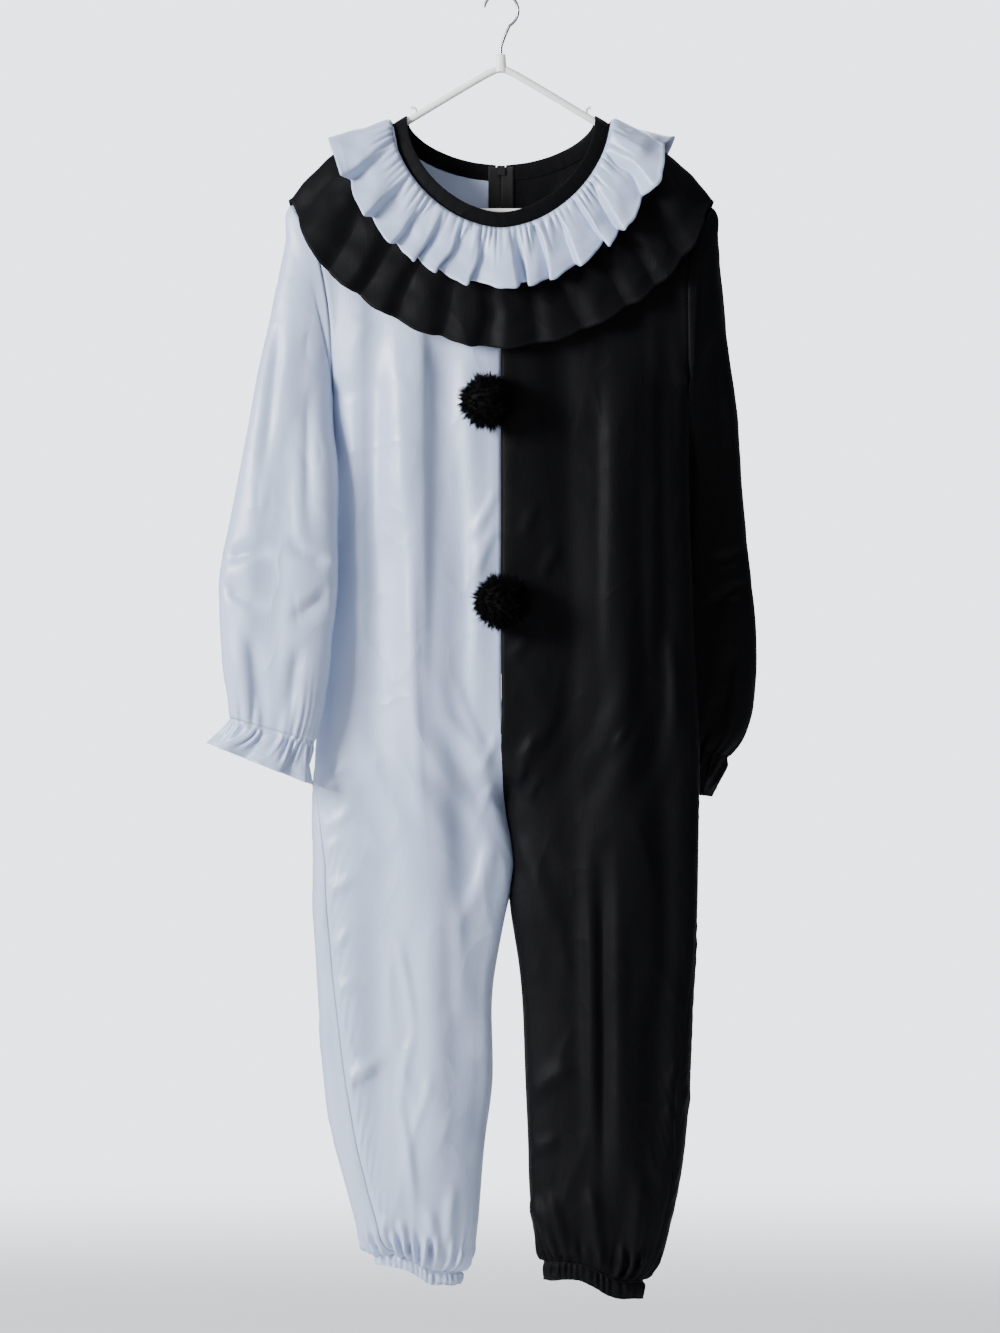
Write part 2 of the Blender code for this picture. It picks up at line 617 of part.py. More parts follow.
def flute(notches, turn):
    """How far out the cloth stands at a place round the neck, by the flute that it is in."""
    turn += 360.0 if turn < notches[0] else 0.0
    ends = notches[1:] + (notches[0] + 360.0,)
    start, end = next((low, high) for low, high in zip(notches, ends) if low <= turn <= high)
    swell = 0.5 - 0.5 * math.cos(2 * math.pi * (turn - start) / (end - start))
    low, high = FLUTE_SHARE
    return swell * min(max((end - start) / FLUTE, low), high)


def make_ruffles():
    """Each ruffle lies clear of what is below it and stands off it in flutes."""
    under = ["front_left", "front_right", "back_left", "back_right", "sleeve_left", "sleeve_right"]
    stations = round_neck((6, 5, 5, 4, 3, 2), (5, 4, 3, 3, 2, 2))
    offs = stand_offs(stations)
    for name, sizes in RUFFLES.items():
        tree = solid_tree(under)
        rows = []
        for distance in sizes["rows"]:
            run = distance / sizes["rows"][-1]
            row = []
            for (seam, side, face, angle), off in zip(stations, offs):
                point = seam + from_neck(side, angle) * (RUFFLE_START + distance)
                point += off * (sizes["lean"] * run ** 1.2 + sizes["root"]
                                + SHOULDER_LIFT * math.sin(angle) ** 6 * ease(angle, *LIFT_TURN))
                hit = tree.ray_cast(point + off * 0.15, -off, 0.30)[0]
                if hit is not None and abs((hit - point).dot(off)) < RUFFLE_FEEL:
                    clear = RUFFLE_CLEAR * ease(distance, 0.0, 0.03) + SEAM + WALL / 2
                    point += off * max((hit - point).dot(off) + clear, 0.0)
                turn = side * (math.degrees(angle) if face == "front" else 180.0 - math.degrees(angle))
                row.append(point + off * sizes["wave"] * flute(sizes["notches"], turn) * run ** 0.8)
            rows.append(row)
        sheet_object(name, rows, flip=True, split=True)
        under.append(name)


def make_pompoms():
    for number, (name, (x, z)) in enumerate(POMPOMS.items()):
        rng = random.Random(31 + number)
        below = min(body_depth(x + dx, z + dz) for dx in POM_SPREAD for dz in POM_SPREAD)
        backing = POM_CORE * 0.9
        centre = Vector((x, below - WALL / 2 - POM_CLEAR - backing, z))
        ball = bmesh.new()
        bmesh.ops.create_icosphere(ball, subdivisions=2, radius=POM_CORE)
        for face in list(ball.faces):
            normal = face.normal.copy()
            length = (POM_REACH - POM_CORE) * rng.uniform(0.75, 1.0)
            sway = Vector((rng.uniform(-1, 1), rng.uniform(-1, 1), rng.uniform(-1, 1) - 0.5)) * POM_SWAY
            tip = bmesh.ops.poke(ball, faces=[face])["verts"][0]
            tip.co += normal * length + sway
        for vertex in ball.verts:
            vertex.co.y = min(vertex.co.y, backing)
        mesh = bpy.data.meshes.new(name)
        ball.to_mesh(mesh)
        ball.free()
        obj = bpy.data.objects.new(name, mesh)
        obj.location = centre
        PARTS.objects.link(obj)
        finish(obj)


def body_depth(x, z):
    """How far forward the front lies at a place."""
    side = -1 if x < 0 else 1
    values = row_at(BODY, z)
    place = abs(x) / abs(values[0 if side < 0 else 3])
    return -values[4] * tube_profile(place, 0.0) - folds(side, "front", x, z)


def curve_object(name, points, radius, cyclic=False, resolution=2):
    data = bpy.data.curves.new(name, "CURVE")
    data.dimensions = "3D"
    data.bevel_depth = radius
    data.bevel_resolution = resolution
    data.use_fill_caps = True
    spline = data.splines.new("POLY")
    spline.points.add(len(points) - 1)
    for spot, point in zip(spline.points, points):
        spot.co = (*point, 1.0)
    spline.use_cyclic_u = cyclic
    obj = bpy.data.objects.new(name, data)
    PARTS.objects.link(obj)
    return obj


def solid_from_curve(obj):
    """The curve's tube as a mesh with welded caps."""
    bpy.context.view_layer.update()
    name, matrix = obj.name, obj.matrix_world.copy()
    mesh = bpy.data.meshes.new_from_object(obj.evaluated_get(bpy.context.evaluated_depsgraph_get()))
    bpy.data.objects.remove(obj)
    shape = bmesh.new()
    shape.from_mesh(mesh)
    bmesh.ops.remove_doubles(shape, verts=shape.verts, dist=0.00001)
    bmesh.ops.recalc_face_normals(shape, faces=shape.faces)
    shape.to_mesh(mesh)
    shape.free()
    solid = bpy.data.objects.new(name, mesh)
    solid.matrix_world = matrix
    PARTS.objects.link(solid)
    return solid


def join_solid(obj, other):
    """Fuse another solid into this one."""
    union = obj.modifiers.new("union", "BOOLEAN")
    union.operation = "UNION"
    union.object = other
    bpy.context.view_layer.update()
    mesh = bpy.data.meshes.new_from_object(obj.evaluated_get(bpy.context.evaluated_depsgraph_get()))
    obj.modifiers.clear()
    obj.data = mesh
    bpy.data.objects.remove(other)


def arm_height(x):
    return ARM_APEX - ARM_SLOPE * abs(x)


def make_hanger():
    half = [(0.0, ARM_APEX - ARM_TUBE)] + [(x, arm_height(x)) for x in ARM_STEPS]
    half += list(ARM_END) + [(BAR_HALF, BAR_DROP)]
    outline = half + [(-x, z) for x, z in half[:0:-1]]
    frame = solid_from_curve(curve_object("hanger_frame", [(x, 0.0, z) for x, z in outline],
                                          ARM_TUBE, cyclic=True))
    collar_top = ARM_APEX + COLLAR[1] - HOOK_WIRE
    collar = curve_object("collar", [(0, 0, collar_top - COLLAR[1]), (0, 0, collar_top)], COLLAR[0])
    join_solid(frame, solid_from_curve(collar))
    for side in (-1, 1):
        finger = [(side * (NOTCH_AT + x), 0.0, arm_height(NOTCH_AT) + z) for x, z in NOTCH]
        join_solid(frame, solid_from_curve(curve_object("notch", finger, NOTCH_TUBE)))
    finish(frame)
    foot = collar_top + SEAM
    ring = HOOK_RADIUS + HOOK_WIRE
    start, end, count = HOOK_TURN
    points = [Vector((0, 0, foot)), Vector((0, 0, foot + STEM))]
    for i in range(count):
        angle = math.radians(blend(start, end, i / (count - 1)))
        points.append(Vector((math.cos(angle) * ring, 0, math.sin(angle) * ring - HOOK_RADIUS)))
    finish(solid_from_curve(curve_object("hanger_hook", points, HOOK_WIRE)))


def zip_rows(side):
    """The back panel's rows along the zip, each as its edge point and the next column."""
    rows = [yoke_row(side, "back", share) for share in YOKE_ROWS]
    rows += [body_row(side, "back", z) for z in BODY_ROWS if z > ZIP_FOOT]
    rows.append(body_row(side, "back", ZIP_FOOT))
    rows.insert(0, [point + Vector((0.0, 0.0, TAPE_RISE)) for point in rows[0]])
    return [(row[0], row[1], row[2]) for row in rows]


def make_zip():
    """Tapes inside the back opening, the slider at their top and its pull tab outside."""
    inside = Vector((0.0, -(WALL / 2 + TAPE_WALL / 2 + TAPE_CLEAR), 0.0))
    for side, side_name in ((-1, "left"), (1, "right")):
        rows = []
        for edge, strip, column in zip_rows(side):
            across = (TAPE_WIDTH - abs(strip.x)) / (abs(column.x) - abs(strip.x))
            inner = Vector((side * TAPE_SPLIT, edge.y, edge.z))
            rows.append([inner + inside, strip + inside,
                         strip.lerp(column, across) + inside * ZIP_SLACK])
        sheet_object(f"zip_tape_{side_name}", rows, wall=TAPE_WALL, flip=side < 0)
    make_slider()
    make_pull()


def prism(name, outline, axis, low, high):
    """A flat outline drawn out along an axis: (x, y) along z, or (y, z) along x."""
    shape = bmesh.new()
    ends = []
    for place in (low, high):
        ring = [shape.verts.new((a, b, place) if axis == "z" else (place, a, b)) for a, b in outline]
        ends.append(ring)
    shape.faces.new(ends[0][::-1])
    shape.faces.new(ends[1])
    for i in range(len(outline)):
        j = (i + 1) % len(outline)
        shape.faces.new((ends[0][i], ends[0][j], ends[1][j], ends[1][i]))
    bmesh.ops.recalc_face_normals(shape, faces=shape.faces)
    mesh = bpy.data.meshes.new(name)
    shape.to_mesh(mesh)
    shape.free()
    obj = bpy.data.objects.new(name, mesh)
    PARTS.objects.link(obj)
    return obj


def make_slider():
    """Two plates joined through the slot by a web, with the bail that the tab hangs on."""
    back = NECK_DEPTH["back"]
    outer = back + WALL / 2 + TAPE_CLEAR
    inner = back - WALL / 2 - TAPE_WALL - 2 * TAPE_CLEAR
    half, plate, web = SLIDER["half"], SLIDER["plate"], TAPE_SPLIT - SEAM
    right = [(half, inner - plate), (half, inner), (web, inner), (web, outer), (half, outer),
             (half, outer + plate)]
    outline = right + [(-x, y) for x, y in right[::-1]]
    slider = prism("zip_slider", outline, "z", SLIDER["top"] - SLIDER["tall"], SLIDER["top"])
    root, tip = outer + plate - SEAM, PIVOT[0] + BAIL["wall"]
    for x in (-BAIL["half"], BAIL["half"] - BAIL["ear"]):
        ear = [(root, PIVOT[1] - BAIL["root"]), (tip, PIVOT[1] - BAIL["wall"]),
               (tip, PIVOT[1] + BAIL["wall"]), (root, PIVOT[1] + BAIL["root"])]
        join_solid(slider, prism("ear", ear, "x", x, x + BAIL["ear"]))
    bpy.ops.mesh.primitive_cylinder_add(vertices=10, radius=BAIL["pin"],
                                        depth=2 * (BAIL["half"] - SEAM), location=(0.0, *PIVOT),
                                        rotation=(0.0, math.pi / 2, 0.0))
    pin = bpy.context.object
    for holder in pin.users_collection:
        holder.objects.unlink(pin)
    PARTS.objects.link(pin)
    join_solid(slider, pin)
    finish(slider)


def make_pull():
    """A flat tab whose eye turns on the bail's pin; it is built about the pin."""
    eye, hole, thin = BAIL["pin"] + PULL["eye"], BAIL["pin"] + PULL["clear"], PULL["thin"]
    outline = []
    for i in range(13):
        angle = math.radians(blend(-55, 235, i / 12))
        outline.append((eye * math.cos(angle), eye * math.sin(angle)))
    outline += [(-thin / 2, -PULL["length"]), (thin / 2, -PULL["length"])]
    tab = prism("zip_pull", outline, "x", -PULL["half"], PULL["half"])
    opening = [(hole * math.cos(math.radians(36 * i)), hole * math.sin(math.radians(36 * i)))
               for i in range(10)]
    cutter = prism("eye", opening, "x", -2 * PULL["half"], 2 * PULL["half"])
    cut = tab.modifiers.new("eye", "BOOLEAN")
    cut.operation = "DIFFERENCE"
    cut.object = cutter
    bpy.context.view_layer.update()
    mesh = bpy.data.meshes.new_from_object(tab.evaluated_get(bpy.context.evaluated_depsgraph_get()))
    tab.modifiers.clear()
    tab.data = mesh
    tab.location = (0.0, *PIVOT)
    bpy.data.objects.remove(cutter)
    finish(tab)


for thing in list(bpy.data.objects):
    bpy.data.objects.remove(thing)
PARTS = bpy.data.collections.new(NAME)
bpy.context.scene.collection.children.link(PARTS)
make_panels()
make_sleeves()
make_ankles()
make_binding()
make_ruffles()
make_pompoms()
make_hanger()
make_zip()
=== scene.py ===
"""A clown's jumpsuit, half white and half black, on a plastic hanger."""
import math
import random

import bmesh
import bpy
import numpy as np
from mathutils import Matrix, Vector, noise
from mathutils.bvhtree import BVHTree


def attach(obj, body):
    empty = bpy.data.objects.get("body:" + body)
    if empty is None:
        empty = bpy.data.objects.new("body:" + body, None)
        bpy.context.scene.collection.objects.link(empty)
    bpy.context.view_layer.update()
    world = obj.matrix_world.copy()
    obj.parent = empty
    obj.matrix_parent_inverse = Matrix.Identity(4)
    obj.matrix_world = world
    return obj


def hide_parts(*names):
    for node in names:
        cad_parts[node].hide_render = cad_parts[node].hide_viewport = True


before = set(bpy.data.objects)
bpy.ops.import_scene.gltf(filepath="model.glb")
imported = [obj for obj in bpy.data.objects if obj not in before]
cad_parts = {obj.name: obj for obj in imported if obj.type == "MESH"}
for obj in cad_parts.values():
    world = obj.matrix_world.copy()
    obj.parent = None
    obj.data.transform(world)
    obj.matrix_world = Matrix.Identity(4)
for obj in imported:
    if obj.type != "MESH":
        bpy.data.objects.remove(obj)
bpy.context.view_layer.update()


# ---- Hanger -----------------------------------------------------------------
# A clothes hanger injection moulded in white polypropylene, with a notch on each arm for
# straps, round a zinc-plated wire hook. The neck of the garment hangs on its arms.

HOOK_RADIUS = 0.020
HOOK_WIRE = 0.0018         # half thickness
HOOK_TURN = (-62, 231, 30)         # degrees where the bend starts and how far it goes, points
ARM_TUBE = 0.0045          # half thickness of the moulded frame
ARM_APEX = -0.0890
ARM_SLOPE = 0.601
BAR_DROP = -0.2745
# from the end of the right arm round into the bar: x and height
ARM_END = [(0.2035, -0.2125), (0.2090, -0.2215), (0.2045, -0.2315), (0.188, -0.2425),
           (0.160, -0.2570), (0.130, -0.2680), (0.100, BAR_DROP), (0.050, BAR_DROP)]
# the boss that is moulded round the wire, with its swelling foot: half width and height
BOSS = ((0.0082, -0.0080), (0.0074, -0.0030), (0.0064, 0.0020), (0.0060, 0.0080),
        (0.0058, 0.0122), (0.0050, 0.0136), (0.0036, 0.0142), (0.0020, 0.0142))
BOSS_FLAT = 0.78           # its depth as a share of its width
BOSS_SIDES = 32
BOSS_TOP = 0.0145          # above the arms' meeting point
NOTCH_AT = 0.108
NOTCH_TUBE = 0.0019
# a strap notch's finger, from its foot on the arm: x and height
NOTCH = ((0.0, -0.002), (-0.0003, 0.004), (-0.0004, 0.0080), (0.0010, 0.0106),
         (0.0040, 0.0114), (0.0062, 0.0112))


def linear(hex_colour):
    """An sRGB hex colour as the linear values that a shader takes."""
    parts = [int(hex_colour[i:i + 2], 16) / 255 for i in (1, 3, 5)]
    return (*[p / 12.92 if p <= 0.04045 else ((p + 0.055) / 1.055) ** 2.4 for p in parts], 1.0)


def add_node(tree, kind, values=None, links=None, **settings):
    """One shader node with its settings, socket values and incoming links."""
    node = tree.nodes.new(kind)
    for name, setting in settings.items():
        setattr(node, name, setting)
    for name, value in (values or {}).items():
        node.inputs[name].default_value = value
    for name, source in (links or {}).items():
        tree.links.new(source, node.inputs[name])
    return node


def new_material(name, **values):
    """A material with a Principled shader, and that shader's own values."""
    material = bpy.data.materials.new(name)
    material.use_nodes = True
    shader = material.node_tree.nodes["Principled BSDF"]
    for socket, value in values.items():
        shader.inputs[socket.replace("_", " ")].default_value = value
    return material, material.node_tree, shader


def moulded_polypropylene():
    """White polypropylene from a steel mould: slightly glossy, with a faint orange peel."""
    material, tree, shader = new_material("moulded_polypropylene", Base_Color=linear("#EFF0EC"),
                                          Roughness=0.34, IOR=1.49)
    place = add_node(tree, "ShaderNodeTexCoord")
    # orange peel about 3 mm across
    peel = add_node(tree, "ShaderNodeTexNoise", {"Scale": 330.0, "Detail": 2.0},
                    {"Vector": place.outputs["Object"]})
    # scuffs from the rail and from other hangers
    scuff = add_node(tree, "ShaderNodeTexNoise", {"Scale": 60.0, "Detail": 6.0},
                     {"Vector": place.outputs["Object"]})
    rough = add_node(tree, "ShaderNodeMapRange", {"From Min": 0.35, "From Max": 0.7,
                                                  "To Min": 0.27, "To Max": 0.46},
                     {"Value": scuff.outputs["Fac"]})
    tree.links.new(rough.outputs["Result"], shader.inputs["Roughness"])
    bump = add_node(tree, "ShaderNodeBump", {"Strength": 0.12, "Distance": 0.0003},
                    {"Height": peel.outputs["Fac"]})
    tree.links.new(bump.outputs["Normal"], shader.inputs["Normal"])
    return material


def plated_wire():
    """Steel wire, zinc plated after bending: a grey metal with fine drawing marks."""
    material, tree, shader = new_material("plated_wire", Base_Color=linear("#B7B9BC"),
                                          Metallic=1.0, Roughness=0.30)
    place = add_node(tree, "ShaderNodeTexCoord")
    # drawing marks about 1 mm apart
    marks = add_node(tree, "ShaderNodeTexNoise", {"Scale": 900.0, "Detail": 3.0},
                     {"Vector": place.outputs["Object"]})
    rough = add_node(tree, "ShaderNodeMapRange", {"To Min": 0.22, "To Max": 0.42},
                     {"Value": marks.outputs["Fac"]})
    tree.links.new(rough.outputs["Result"], shader.inputs["Roughness"])
    bump = add_node(tree, "ShaderNodeBump", {"Strength": 0.08, "Distance": 0.0001},
                    {"Height": marks.outputs["Fac"]})
    tree.links.new(bump.outputs["Normal"], shader.inputs["Normal"])
    return material


def add_piece(name, data, material, place=(0.0, 0.0, 0.0)):
    """A mesh or curve as a piece that hangs with the garment."""
    data.materials.append(material)
    piece = bpy.data.objects.new(name, data)
    piece.location = place
    bpy.context.collection.objects.link(piece)
    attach(piece, "garment")
    return piece


def mesh_piece(name, vertices, faces, material, place=(0.0, 0.0, 0.0)):
    mesh = bpy.data.meshes.new(name)
    mesh.from_pydata(vertices, [], faces)
    mesh.shade_smooth()
    return add_piece(name, mesh, material, place)


def grid_corners(rows, width, closed):
    """The four corners, as rows and columns, of each face of a grid of points."""
    spans = width if closed else width - 1
    row, span = (part.ravel() for part in np.meshgrid(range(rows - 1), range(spans), indexing="ij"))
    return [(row, span), (row, span + 1), (row + 1, span + 1), (row + 1, span)]


def corner_faces(corners, width):
    return np.stack([row * width + column % width for row, column in corners], axis=1)


def tube(name, points, radius, material, cyclic=False):
    """A round rod bent smoothly through a list of points."""
    data = bpy.data.curves.new(name, "CURVE")
    data.dimensions = "3D"
    data.bevel_depth = radius
    data.bevel_resolution = 4
    data.resolution_u = 8
    data.use_fill_caps = True
    spline = data.splines.new("NURBS")
    spline.points.add(len(points) - 1)
    for spot, point in zip(spline.points, points):
        spot.co = (*point, 1.0)
    spline.use_cyclic_u = cyclic
    spline.order_u = 3
    spline.use_endpoint_u = not cyclic
    return add_piece(name, data, material)


def arm_height(x):
    return ARM_APEX - ARM_SLOPE * abs(x)


def make_hanger():
    plastic, wire = moulded_polypropylene(), plated_wire()
    half = [(0.0, ARM_APEX - ARM_TUBE), (0.012, arm_height(0.013))]
    half += [(x, arm_height(x)) for x in (0.05, 0.09, 0.13, 0.17, 0.19)] + ARM_END
    outline = half + [(-x, z) for x, z in half[:0:-1]]
    rod = tube("hanger_rod", [(x, 0.0, z) for x, z in outline], ARM_TUBE, plastic,
               cyclic=True)
    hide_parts("hanger_frame")
    turns = [2 * math.pi * k / BOSS_SIDES for k in range(BOSS_SIDES)]
    spots = [(r * math.cos(turn), r * BOSS_FLAT * math.sin(turn), ARM_APEX + z)
             for r, z in BOSS for turn in turns]
    faces = corner_faces(grid_corners(len(BOSS), BOSS_SIDES, True), BOSS_SIDES)
    mesh_piece("hanger_boss", spots, faces.tolist(), plastic)
    for side, name in ((-1, "hanger_notch_left"), (1, "hanger_notch_right")):
        finger = [(side * (NOTCH_AT + x), 0.0, arm_height(NOTCH_AT) + z) for x, z in NOTCH]
        tube(name, finger, NOTCH_TUBE, plastic)
    ring = HOOK_RADIUS + HOOK_WIRE
    foot = ARM_APEX + BOSS_TOP
    points = [(0.0, 0.0, foot + rise) for rise in (-0.004, 0.004, 0.010)]
    start, turn, count = HOOK_TURN
    for i in range(count):
        angle = math.radians(start + i * turn / (count - 1))
        points.append((math.cos(angle) * ring, 0.0, math.sin(angle) * ring - HOOK_RADIUS))
    hook = tube("hanger_wire", points, HOOK_WIRE, wire)
    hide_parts("hanger_hook")


make_hanger()


# ---- Body -------------------------------------------------------------------
# Two fronts and two backs in polyester satin, white on one side and black on the other, cut
# from shoulder to ankle in one and sewn at the shoulders, sides, centre and inside legs. The
# cloth hangs slack, so soft folds run down it from the collar.

WALL = 0.0009              # one layer of satin
SEAM = 0.0004              # between two pieces that are sewn together
ROUND = 2.6                # how boxy a hanging tube of cloth is in plan, 2 is an ellipse
ARM_REACH = 0.205          # the hanger's arm carries the shoulder as far as this
CLOTH_OVER_ARM = 0.0069
SHOULDER_TILT = math.atan(ARM_SLOPE)
SHOULDER_FALL = 1.15       # past the arm it falls slowly at first
NECK_HALF = 0.135
NECK_CURVE = 1.8           # the neck seam's form from the front, 2 is an ellipse
NECK_DROP = {"front": 0.133, "back": 0.070}
NECK_DEPTH = {"front": 0.050, "back": 0.030}
NECK_WRAP = 0.60           # the power by which that depth fades towards the shoulder
TIP = {-1: (-0.2644, -0.267), 1: (0.2680, -0.2695)}      # of the shoulder: x and height
UNDERARM = -0.500
ARMHOLE_HALF = 0.028       # half its width from front to back
# the neck's columns, in degrees from its middle to the shoulder
NECK_ANGLES = (0, 20, 39, 57, 73, 87, 90)
NECK_COLUMNS = len(NECK_ANGLES) - 1
PANEL_COLUMNS = 10
# height, and x of the left and of the right armhole
ARMHOLE = (
    (-0.267, -0.2644, 0.2680),
    (-0.290, -0.2510, 0.2530),
    (-0.322, -0.2345, 0.2400),
    (-0.373, -0.2226, 0.2362),
    (-0.424, -0.2165, 0.2368),
    (-0.500, -0.2135, 0.2378),
)
# height, left leg's outer and inner edge, right leg's inner and outer edge, half depth
BODY = (
    (-0.500, -0.2135, 0.0000, 0.0000, 0.2378, 0.044),
    (-0.640, -0.2140, 0.0000, 0.0000, 0.2378, 0.047),
    (-0.790, -0.2200, 0.0000, 0.0000, 0.2440, 0.049),
    (-0.942, -0.2340, 0.0010, 0.0010, 0.2510, 0.051),
    (-1.018, -0.2378, 0.0040, 0.0040, 0.2510, 0.050),
    (-1.094, -0.2378, 0.0155, 0.0160, 0.2500, 0.049),
    (-1.145, -0.2378, 0.0090, 0.0110, 0.2492, 0.048),
    (-1.221, -0.2328, -0.0051, 0.0215, 0.2470, 0.047),
    (-1.271, -0.2302, -0.0112, 0.0266, 0.2430, 0.046),
    (-1.373, -0.2240, -0.0105, 0.0305, 0.2391, 0.045),
    (-1.448, -0.2125, -0.0200, 0.0338, 0.2340, 0.046),
    (-1.499, -0.1999, -0.0245, 0.0350, 0.2264, 0.047),
    (-1.550, -0.1847, -0.0285, 0.0390, 0.2151, 0.045),
    (-1.580, -0.1740, -0.0330, 0.0450, 0.2070, 0.039),
)
CROTCH_START = -0.900      # front and back start to turn in here, and meet at the crotch
CROTCH = -1.005
# the casing's top at its outer and inner end, its half depth and its height
ANKLE = {
    -1: dict(outer=-0.157, inner=-0.0510, z_outer=-1.5905, z_inner=-1.6140,
             depth=0.026, tall=0.017),
    1: dict(outer=0.1790, inner=0.0545, z_outer=-1.6250, z_inner=-1.6010,
            depth=0.030, tall=0.024),
}
ZIP_SLOT = 0.0030          # half the gap that shows the chain
ZIP_FOOT = -0.860
ZIP_CLOSE = 0.020          # the slot closes over this height below it
CASING_STEP = (0.18, 0.72)           # shares of an ankle between which its casing steps down
LEG_FORM = (-0.86, -1.08)  # heights between which the body's form turns into a leg's

# Long folds: side, face, x and height at the top and at the foot, half width, height of
# the ridge (a trough is negative)
FOLDS = (
    (-1, "front", -0.123, -0.40, -0.071, -1.55, 0.030, 0.0090),
    (-1, "front", -0.077, -0.40, -0.030, -1.20, 0.024, -0.0090),
    (-1, "front", -0.172, -0.42, -0.150, -1.50, 0.022, -0.0050),
    (1, "front", 0.094, -0.42, 0.093, -1.10, 0.030, -0.0080),
    (1, "front", 0.160, -0.42, 0.150, -1.56, 0.024, 0.0100),
    (1, "front", 0.203, -0.42, 0.190, -1.50, 0.016, -0.0070),
    (-1, "back", -0.060, -0.36, -0.075, -1.10, 0.028, -0.0080),
    (-1, "back", -0.128, -0.36, -0.120, -1.55, 0.028, 0.0090),
    (-1, "back", -0.178, -0.45, -0.165, -1.48, 0.018, -0.0060),
    (1, "back", 0.052, -0.36, 0.070, -1.15, 0.026, -0.0080),
    (1, "back", 0.118, -0.36, 0.128, -1.55, 0.030, 0.0090),
    (1, "back", 0.182, -0.45, 0.176, -1.48, 0.020, -0.0060),
)


def blend(a, b, share):
    return a + (b - a) * share


def ease(value, start, end):
    share = min(max((value - start) / (end - start), 0.0), 1.0)
    return share * share * (3.0 - 2.0 * share)


def curve_between(low, high, slope_low, slope_high, t):
    """A smooth curve from one value to the next, from their slopes per whole step."""
    return ((2 * t ** 3 - 3 * t ** 2 + 1) * low + (t ** 3 - 2 * t ** 2 + t) * slope_low
            + (3 * t ** 2 - 2 * t ** 3) * high + (t ** 3 - t ** 2) * slope_high)


def row_at(table, height):
    """One row of a table, read smoothly at a height between its rows."""
    last = len(table) - 1
    if height >= table[0][0]:
        return table[0][1:]
    if height <= table[last][0]:
        return table[last][1:]
    upper = max(i for i in range(last) if table[i][0] >= height)
    low, high = table[upper], table[upper + 1]
    before, after = table[max(upper - 1, 0)], table[min(upper + 2, last)]
    gap = high[0] - low[0]
    values = []
    for column in range(1, len(low)):
        slope_low = (high[column] - before[column]) / (high[0] - before[0]) * gap
        slope_high = (after[column] - low[column]) / (after[0] - low[0]) * gap
        values.append(curve_between(low[column], high[column], slope_low, slope_high,
                                    (height - low[0]) / gap))
    return values


def shoulder_height(x):
    """The cloth's ridge over the hanger's arm, then falling to the shoulder tip."""
    arm = ARM_APEX + CLOTH_OVER_ARM - ARM_SLOPE * min(abs(x), ARM_REACH)
    tip_x, tip_z = TIP[-1 if x < 0 else 1]
    beyond = max(abs(x) - ARM_REACH, 0.0) / (abs(tip_x) - ARM_REACH)
    return blend(arm, tip_z, beyond ** SHOULDER_FALL)


def neck_point(angle, face):
    """A point of the neck seam; angle runs from the centre to the shoulder."""
    power = 2.0 / NECK_CURVE
    across = math.sin(angle) ** power
    level = max(math.cos(angle), 0.0)
    forward = -1.0 if face == "front" else 1.0
    return Vector((NECK_HALF * across, forward * NECK_DEPTH[face] * level ** NECK_WRAP,
                   shoulder_height(NECK_HALF) - NECK_DROP[face] * level ** power))


def from_neck(side, angle):
    """The way outwards from the neck over the body."""
    return Vector((side * math.cos(SHOULDER_TILT) * math.sin(angle), 0.0,
                   -(math.cos(angle) + math.sin(SHOULDER_TILT) * math.sin(angle)))).normalized()


def long_folds(side, face, x, z):
    total = 0.0
    for fold_side, fold_face, x_top, z_top, x_foot, z_foot, width, height in FOLDS:
        if (fold_side, fold_face) == (side, face):
            run = (z_top - z) / (z_top - z_foot)
            fade = ease(run, -0.02, 0.12) * (1.0 - ease(run, 0.86, 1.02))
            total += height * fade * math.exp(-((x - blend(x_top, x_foot, run)) / width) ** 2)
    return total


def tube_profile(across, turned):
    """Depth of a hanging tube as a share, from its inner edge (0) to its outer edge (1)."""
    outer = (1.0 - min(across, 1.0) ** ROUND) ** (1.0 / ROUND)
    inner = (1.0 - (1.0 - across) ** ROUND) ** (1.0 / ROUND)
    return outer * ((1.0 - turned) + turned * inner)


def columns(turned):
    """Places across a panel, closer together where the cloth turns away."""
    places = []
    for i in range(1, PANEL_COLUMNS):
        t = i / PANEL_COLUMNS
        places.append(blend(math.sin(t * math.pi / 2) ** 0.85,
                            0.5 + 0.5 * math.sin((t - 0.5) * math.pi), turned))
    return places


def armhole_edge(side, share):
    """The armhole's front edge (its back edge is the mirror in y), and the way out of it."""
    z = blend(TIP[side][1], UNDERARM, share)
    x = row_at(ARMHOLE, z)[0 if side < 0 else 1]
    hollow = math.sin(math.pi * share ** 0.6 * 0.758) if share < 0.5 else \
        math.sqrt(max(1.0 - ((share - 0.5) / 0.5) ** 2.4, 0.0))
    slope = 0.75 * (1.0 - ease(share, 0.0, 0.35))
    edge = Vector((x, -(SEAM / 2 + ARMHOLE_HALF * hollow), z))
    return edge, Vector((side, 0.0, -slope)).normalized()


def centre_gap(face, z):
    """Half the gap at a centre seam; the back one opens for the zip's chain."""
    if face == "front":
        return SEAM / 2
    return blend(ZIP_SLOT, SEAM / 2, ease(z, ZIP_FOOT, ZIP_FOOT - ZIP_CLOSE))


